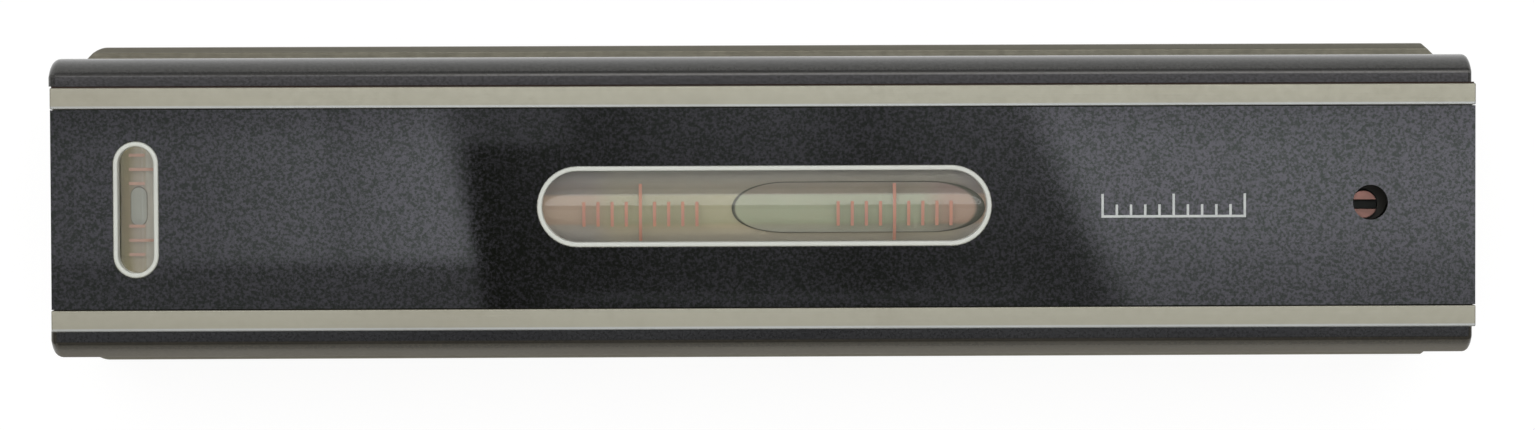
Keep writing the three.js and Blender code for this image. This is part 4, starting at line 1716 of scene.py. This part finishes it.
    def _marks(self) -> None:
        """Paints the graduation as short arcs on the glass."""
        scale = self.graduation
        bm = bmesh.new()
        half, inner, outer = scale.width / 2, self.radius, self.radius + scale.film
        for place, is_long in scale.marks:
            low, high = scale.long if is_long else scale.short
            start = math.asin(low / self.radius)
            sweep = math.asin(high / self.radius) - start
            ring = [
                bm.verts.new((place + dx, 0.0, radius)) for dx, radius in (
                    (-half, inner), (half, inner), (half, outer), (-half, outer))
            ]
            face = bm.faces.new(ring)
            turn = Matrix.Rotation(-start, 3, "X")
            bmesh.ops.rotate(bm, cent=(0, 0, 0), matrix=turn, verts=ring)
            bmesh.ops.spin(
                bm, geom=[face, *face.edges, *ring], cent=(0, 0, 0), axis=(-1, 0, 0),
                dvec=(0, 0, 0), angle=sweep, steps=scale.steps, use_merge=False,
                use_duplicate=False)
        bmesh.ops.recalc_face_normals(bm, faces=bm.faces)
        self.bench.piece(
            f"{self.label}_graduation", self._placed(bm), self.body, Slot.COPPER,
            scale.paint.material())


@dataclass
class InnerWorks:
    """Everything under the cover that only the windows and the access hole reveal."""

    bench: Bench
    head_from: float = 37.3
    head_round: float = 0.14
    recess_below: float = 37.2
    spring_foot: float = 19.15
    spring_keep: float = 0.93

    def build(self) -> None:
        """Dresses the adjusting screw, the kept nodes and the spring."""
        self._screw()
        steel = TurnedMetal(
            "bright_steel", tone(176, 176, 172), tone(138, 136, 130), 0.32).material()
        dark = TurnedMetal("dark_steel", tone(70, 69, 66), tone(48, 46, 44), 0.5).material()
        brass = TurnedMetal("brass", tone(196, 160, 92), tone(150, 116, 62), 0.3).material()
        bond = Paint("bonding_sheet", tone(92, 88, 78), tone(76, 72, 64), 0.8).material()
        holder = Paint("holder_enamel", tone(206, 197, 150), tone(190, 181, 136), 0.6).material()
        for material, nodes in (
            (steel, (
                "carrier_tube", "carrier_pivot_end", "carrier_tongue", "pivot_pin",
                "bracket_screw_front", "bracket_screw_rear", "plate_screw_front",
                "plate_screw_rear", "holder_screw_left", "holder_screw_right")),
            (dark, ("pivot_bracket", "screw_retaining_plate")),
            (brass, ("thrust_bush", "tongue_nut")),
            (holder, ("cross_vial_holder",)),
            (cement("cement").material(), ("vial_packing_left", "vial_packing_right")),
            (bond, ("cover_bond_sheet",)),
        ):
            for node in nodes:
                self.bench.finish(node, material)
        open_to_light(self.bench.nodes["cover_bond_sheet"])
        self._spring(steel)

    def _screw(self) -> None:
        """Softens the head of the adjusting screw's copy and dresses it."""
        copper = TurnedMetal(
            "copper_screw", tone(150, 112, 104), tone(126, 102, 94), 0.42,
            recess_below=self.recess_below * MM).material()
        bm = self.bench.merged("adjusting_screw")
        head = sharp_edges(bm, lambda a, b: min(a.z, b.z) > self.head_from * MM, degrees=40)
        round_off(bm, head, self.head_round * MM)
        self.bench.piece(
            "adjuster_screw", bm, Body.ADJUSTER, Slot.COPPER, copper, ["adjusting_screw"])

    def _spring(self, steel: Material) -> None:
        """Makes the spring under the tongue, on a mesh of its own.

        Args:
            steel: Its material.
        """
        spring = self.bench.piece(
            "tongue_spring", self.bench.merged("carrier_spring"), Body.BASE, Slot.STEEL, steel,
            ["carrier_spring"])
        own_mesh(spring)


def main_vial(bench: Bench) -> Vial:
    """Describes the long vial.

    Args:
        bench: The bench.

    Returns:
        The vial, ready to build.
    """
    radius = 5.15
    offsets = [sign * (10 + 2 * i) for sign in (-1, 1) for i in range(9)]
    return Vial(
        bench, "main_vial", Lie.ALONG, Body.CARRIER, Body.MAIN_BUBBLE,
        centre=(0.5, 0.0, 29.2), length=86.0, radius=6.9, bore=5.6,
        glass=ClearSheet("main_vial_glass_wall", (0.99, 0.99, 0.98), 1.52),
        spirit_radius=radius, spirit_length=77.8,
        # The far band is painted darker, as the shadow of the window's rim; the ends take other
        # painted tints.
        spirit=SpiritColumn("main_spirit", VialShade(
            middle=tone(184, 181, 152), end=tone(188, 167, 150),
            far=tone(160, 155, 142), far_end=tone(149, 143, 140),
            near=tone(192, 181, 153), near_end=tone(176, 169, 160),
            lie=Lie.ALONG, radius=radius * MM, plain=(-23 * MM, 28 * MM))),
        bubble=BubbleShape(
            length=36.0, width=8.5, depth=1.55, at=12.9, end=8.0, lean=-0.06, dusk=0.45,
            skin=BubbleSkin("main_air", VialShade(
                middle=tone(174, 180, 156), end=tone(183, 158, 142),
                far=tone(151, 144, 132), far_end=tone(155, 139, 133),
                near=tone(168, 168, 150), near_end=tone(150, 145, 132),
                lie=Lie.ALONG, radius=radius * MM, plain=(-23 * MM, 24 * MM)),
                rim=tone(98, 99, 88))),
        stoppers=StopperShape(("left", "right"), radius=5.5, length=4.0, nose=3.9),
        graduation=Graduation(
            tuple((float(x), abs(x) == 18) for x in offsets), width=0.45,
            short=(-2.8, 0.7), long=(-4.9, 3.2),
            paint=Paint("red_graduation", tone(206, 150, 126), tone(198, 148, 134))))


def cross_vial(bench: Bench) -> Vial:
    """Describes the short vial.

    Args:
        bench: The bench.

    Returns:
        The vial, ready to build.
    """
    along, middle, radius = -88.1, 0.6, 2.85
    offsets = [sign * (3 + 2 * i) for sign in (-1, 1) for i in range(3)]
    return Vial(
        bench, "cross_vial", Lie.ACROSS, Body.BASE, Body.CROSS_BUBBLE,
        centre=(along, 0.0, 34.1), length=23.0, radius=4.0, bore=3.1,
        glass=ClearSheet("cross_vial_glass_wall", (0.99, 0.99, 0.975), 1.52),
        spirit_radius=radius, spirit_length=18.6,
        # The near band is painted olive shade, where the holder's wall shades the spirit.
        spirit=SpiritColumn("cross_spirit", VialShade(
            middle=tone(169, 160, 148), end=tone(170, 162, 146),
            far=tone(182, 179, 171), far_end=tone(182, 179, 171),
            near=tone(141, 130, 100), near_end=tone(146, 138, 104),
            lie=Lie.ACROSS, centre=along * MM, radius=radius * MM, plain=(-5 * MM, 5 * MM),
            near_span=(-0.8, -0.05), flank_lift=0.1)),
        bubble=BubbleShape(
            length=5.6, width=2.6, depth=0.85, at=0.35, end=1.3, lean=0.05, dusk=0.0,
            skin=BubbleSkin("cross_air", VialShade(
                middle=tone(160, 162, 155), end=tone(160, 162, 155),
                far=tone(170, 170, 166), far_end=tone(142, 139, 130),
                near=tone(142, 139, 130), near_end=tone(142, 139, 130),
                lie=Lie.ACROSS, centre=along * MM, radius=radius * MM, plain=(-5 * MM, 5 * MM)),
                rim=tone(96, 88, 74), rim_span=(0.28, 0.52))),
        stoppers=StopperShape(("front", "rear"), radius=3.0, length=2.0, nose=1.9),
        graduation=Graduation(
            tuple((middle + y, abs(y) == 5) for y in offsets), width=0.42,
            short=(-0.85, 1.4), long=(-2.2, 1.4),
            paint=Paint("faint_graduation", tone(184, 149, 130), tone(177, 145, 130))))


def main() -> None:
    """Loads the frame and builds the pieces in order."""
    logging.basicConfig(level=logging.INFO, format="%(message)s")
    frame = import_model()
    bpy.context.scene.view_settings.view_transform = "Standard"
    StudioCamera().build()
    StudioSky().build()
    StudioFloor().build()
    bench = Bench(frame)
    for part in (BodyCasting(bench), TopCover(bench), SideGrips(bench), main_vial(bench),
                 cross_vial(bench), InnerWorks(bench)):
        part.build()
    LOG.info("nodes without a finish: %s", sorted(bench.left))


if __name__ == "__main__":
    main()
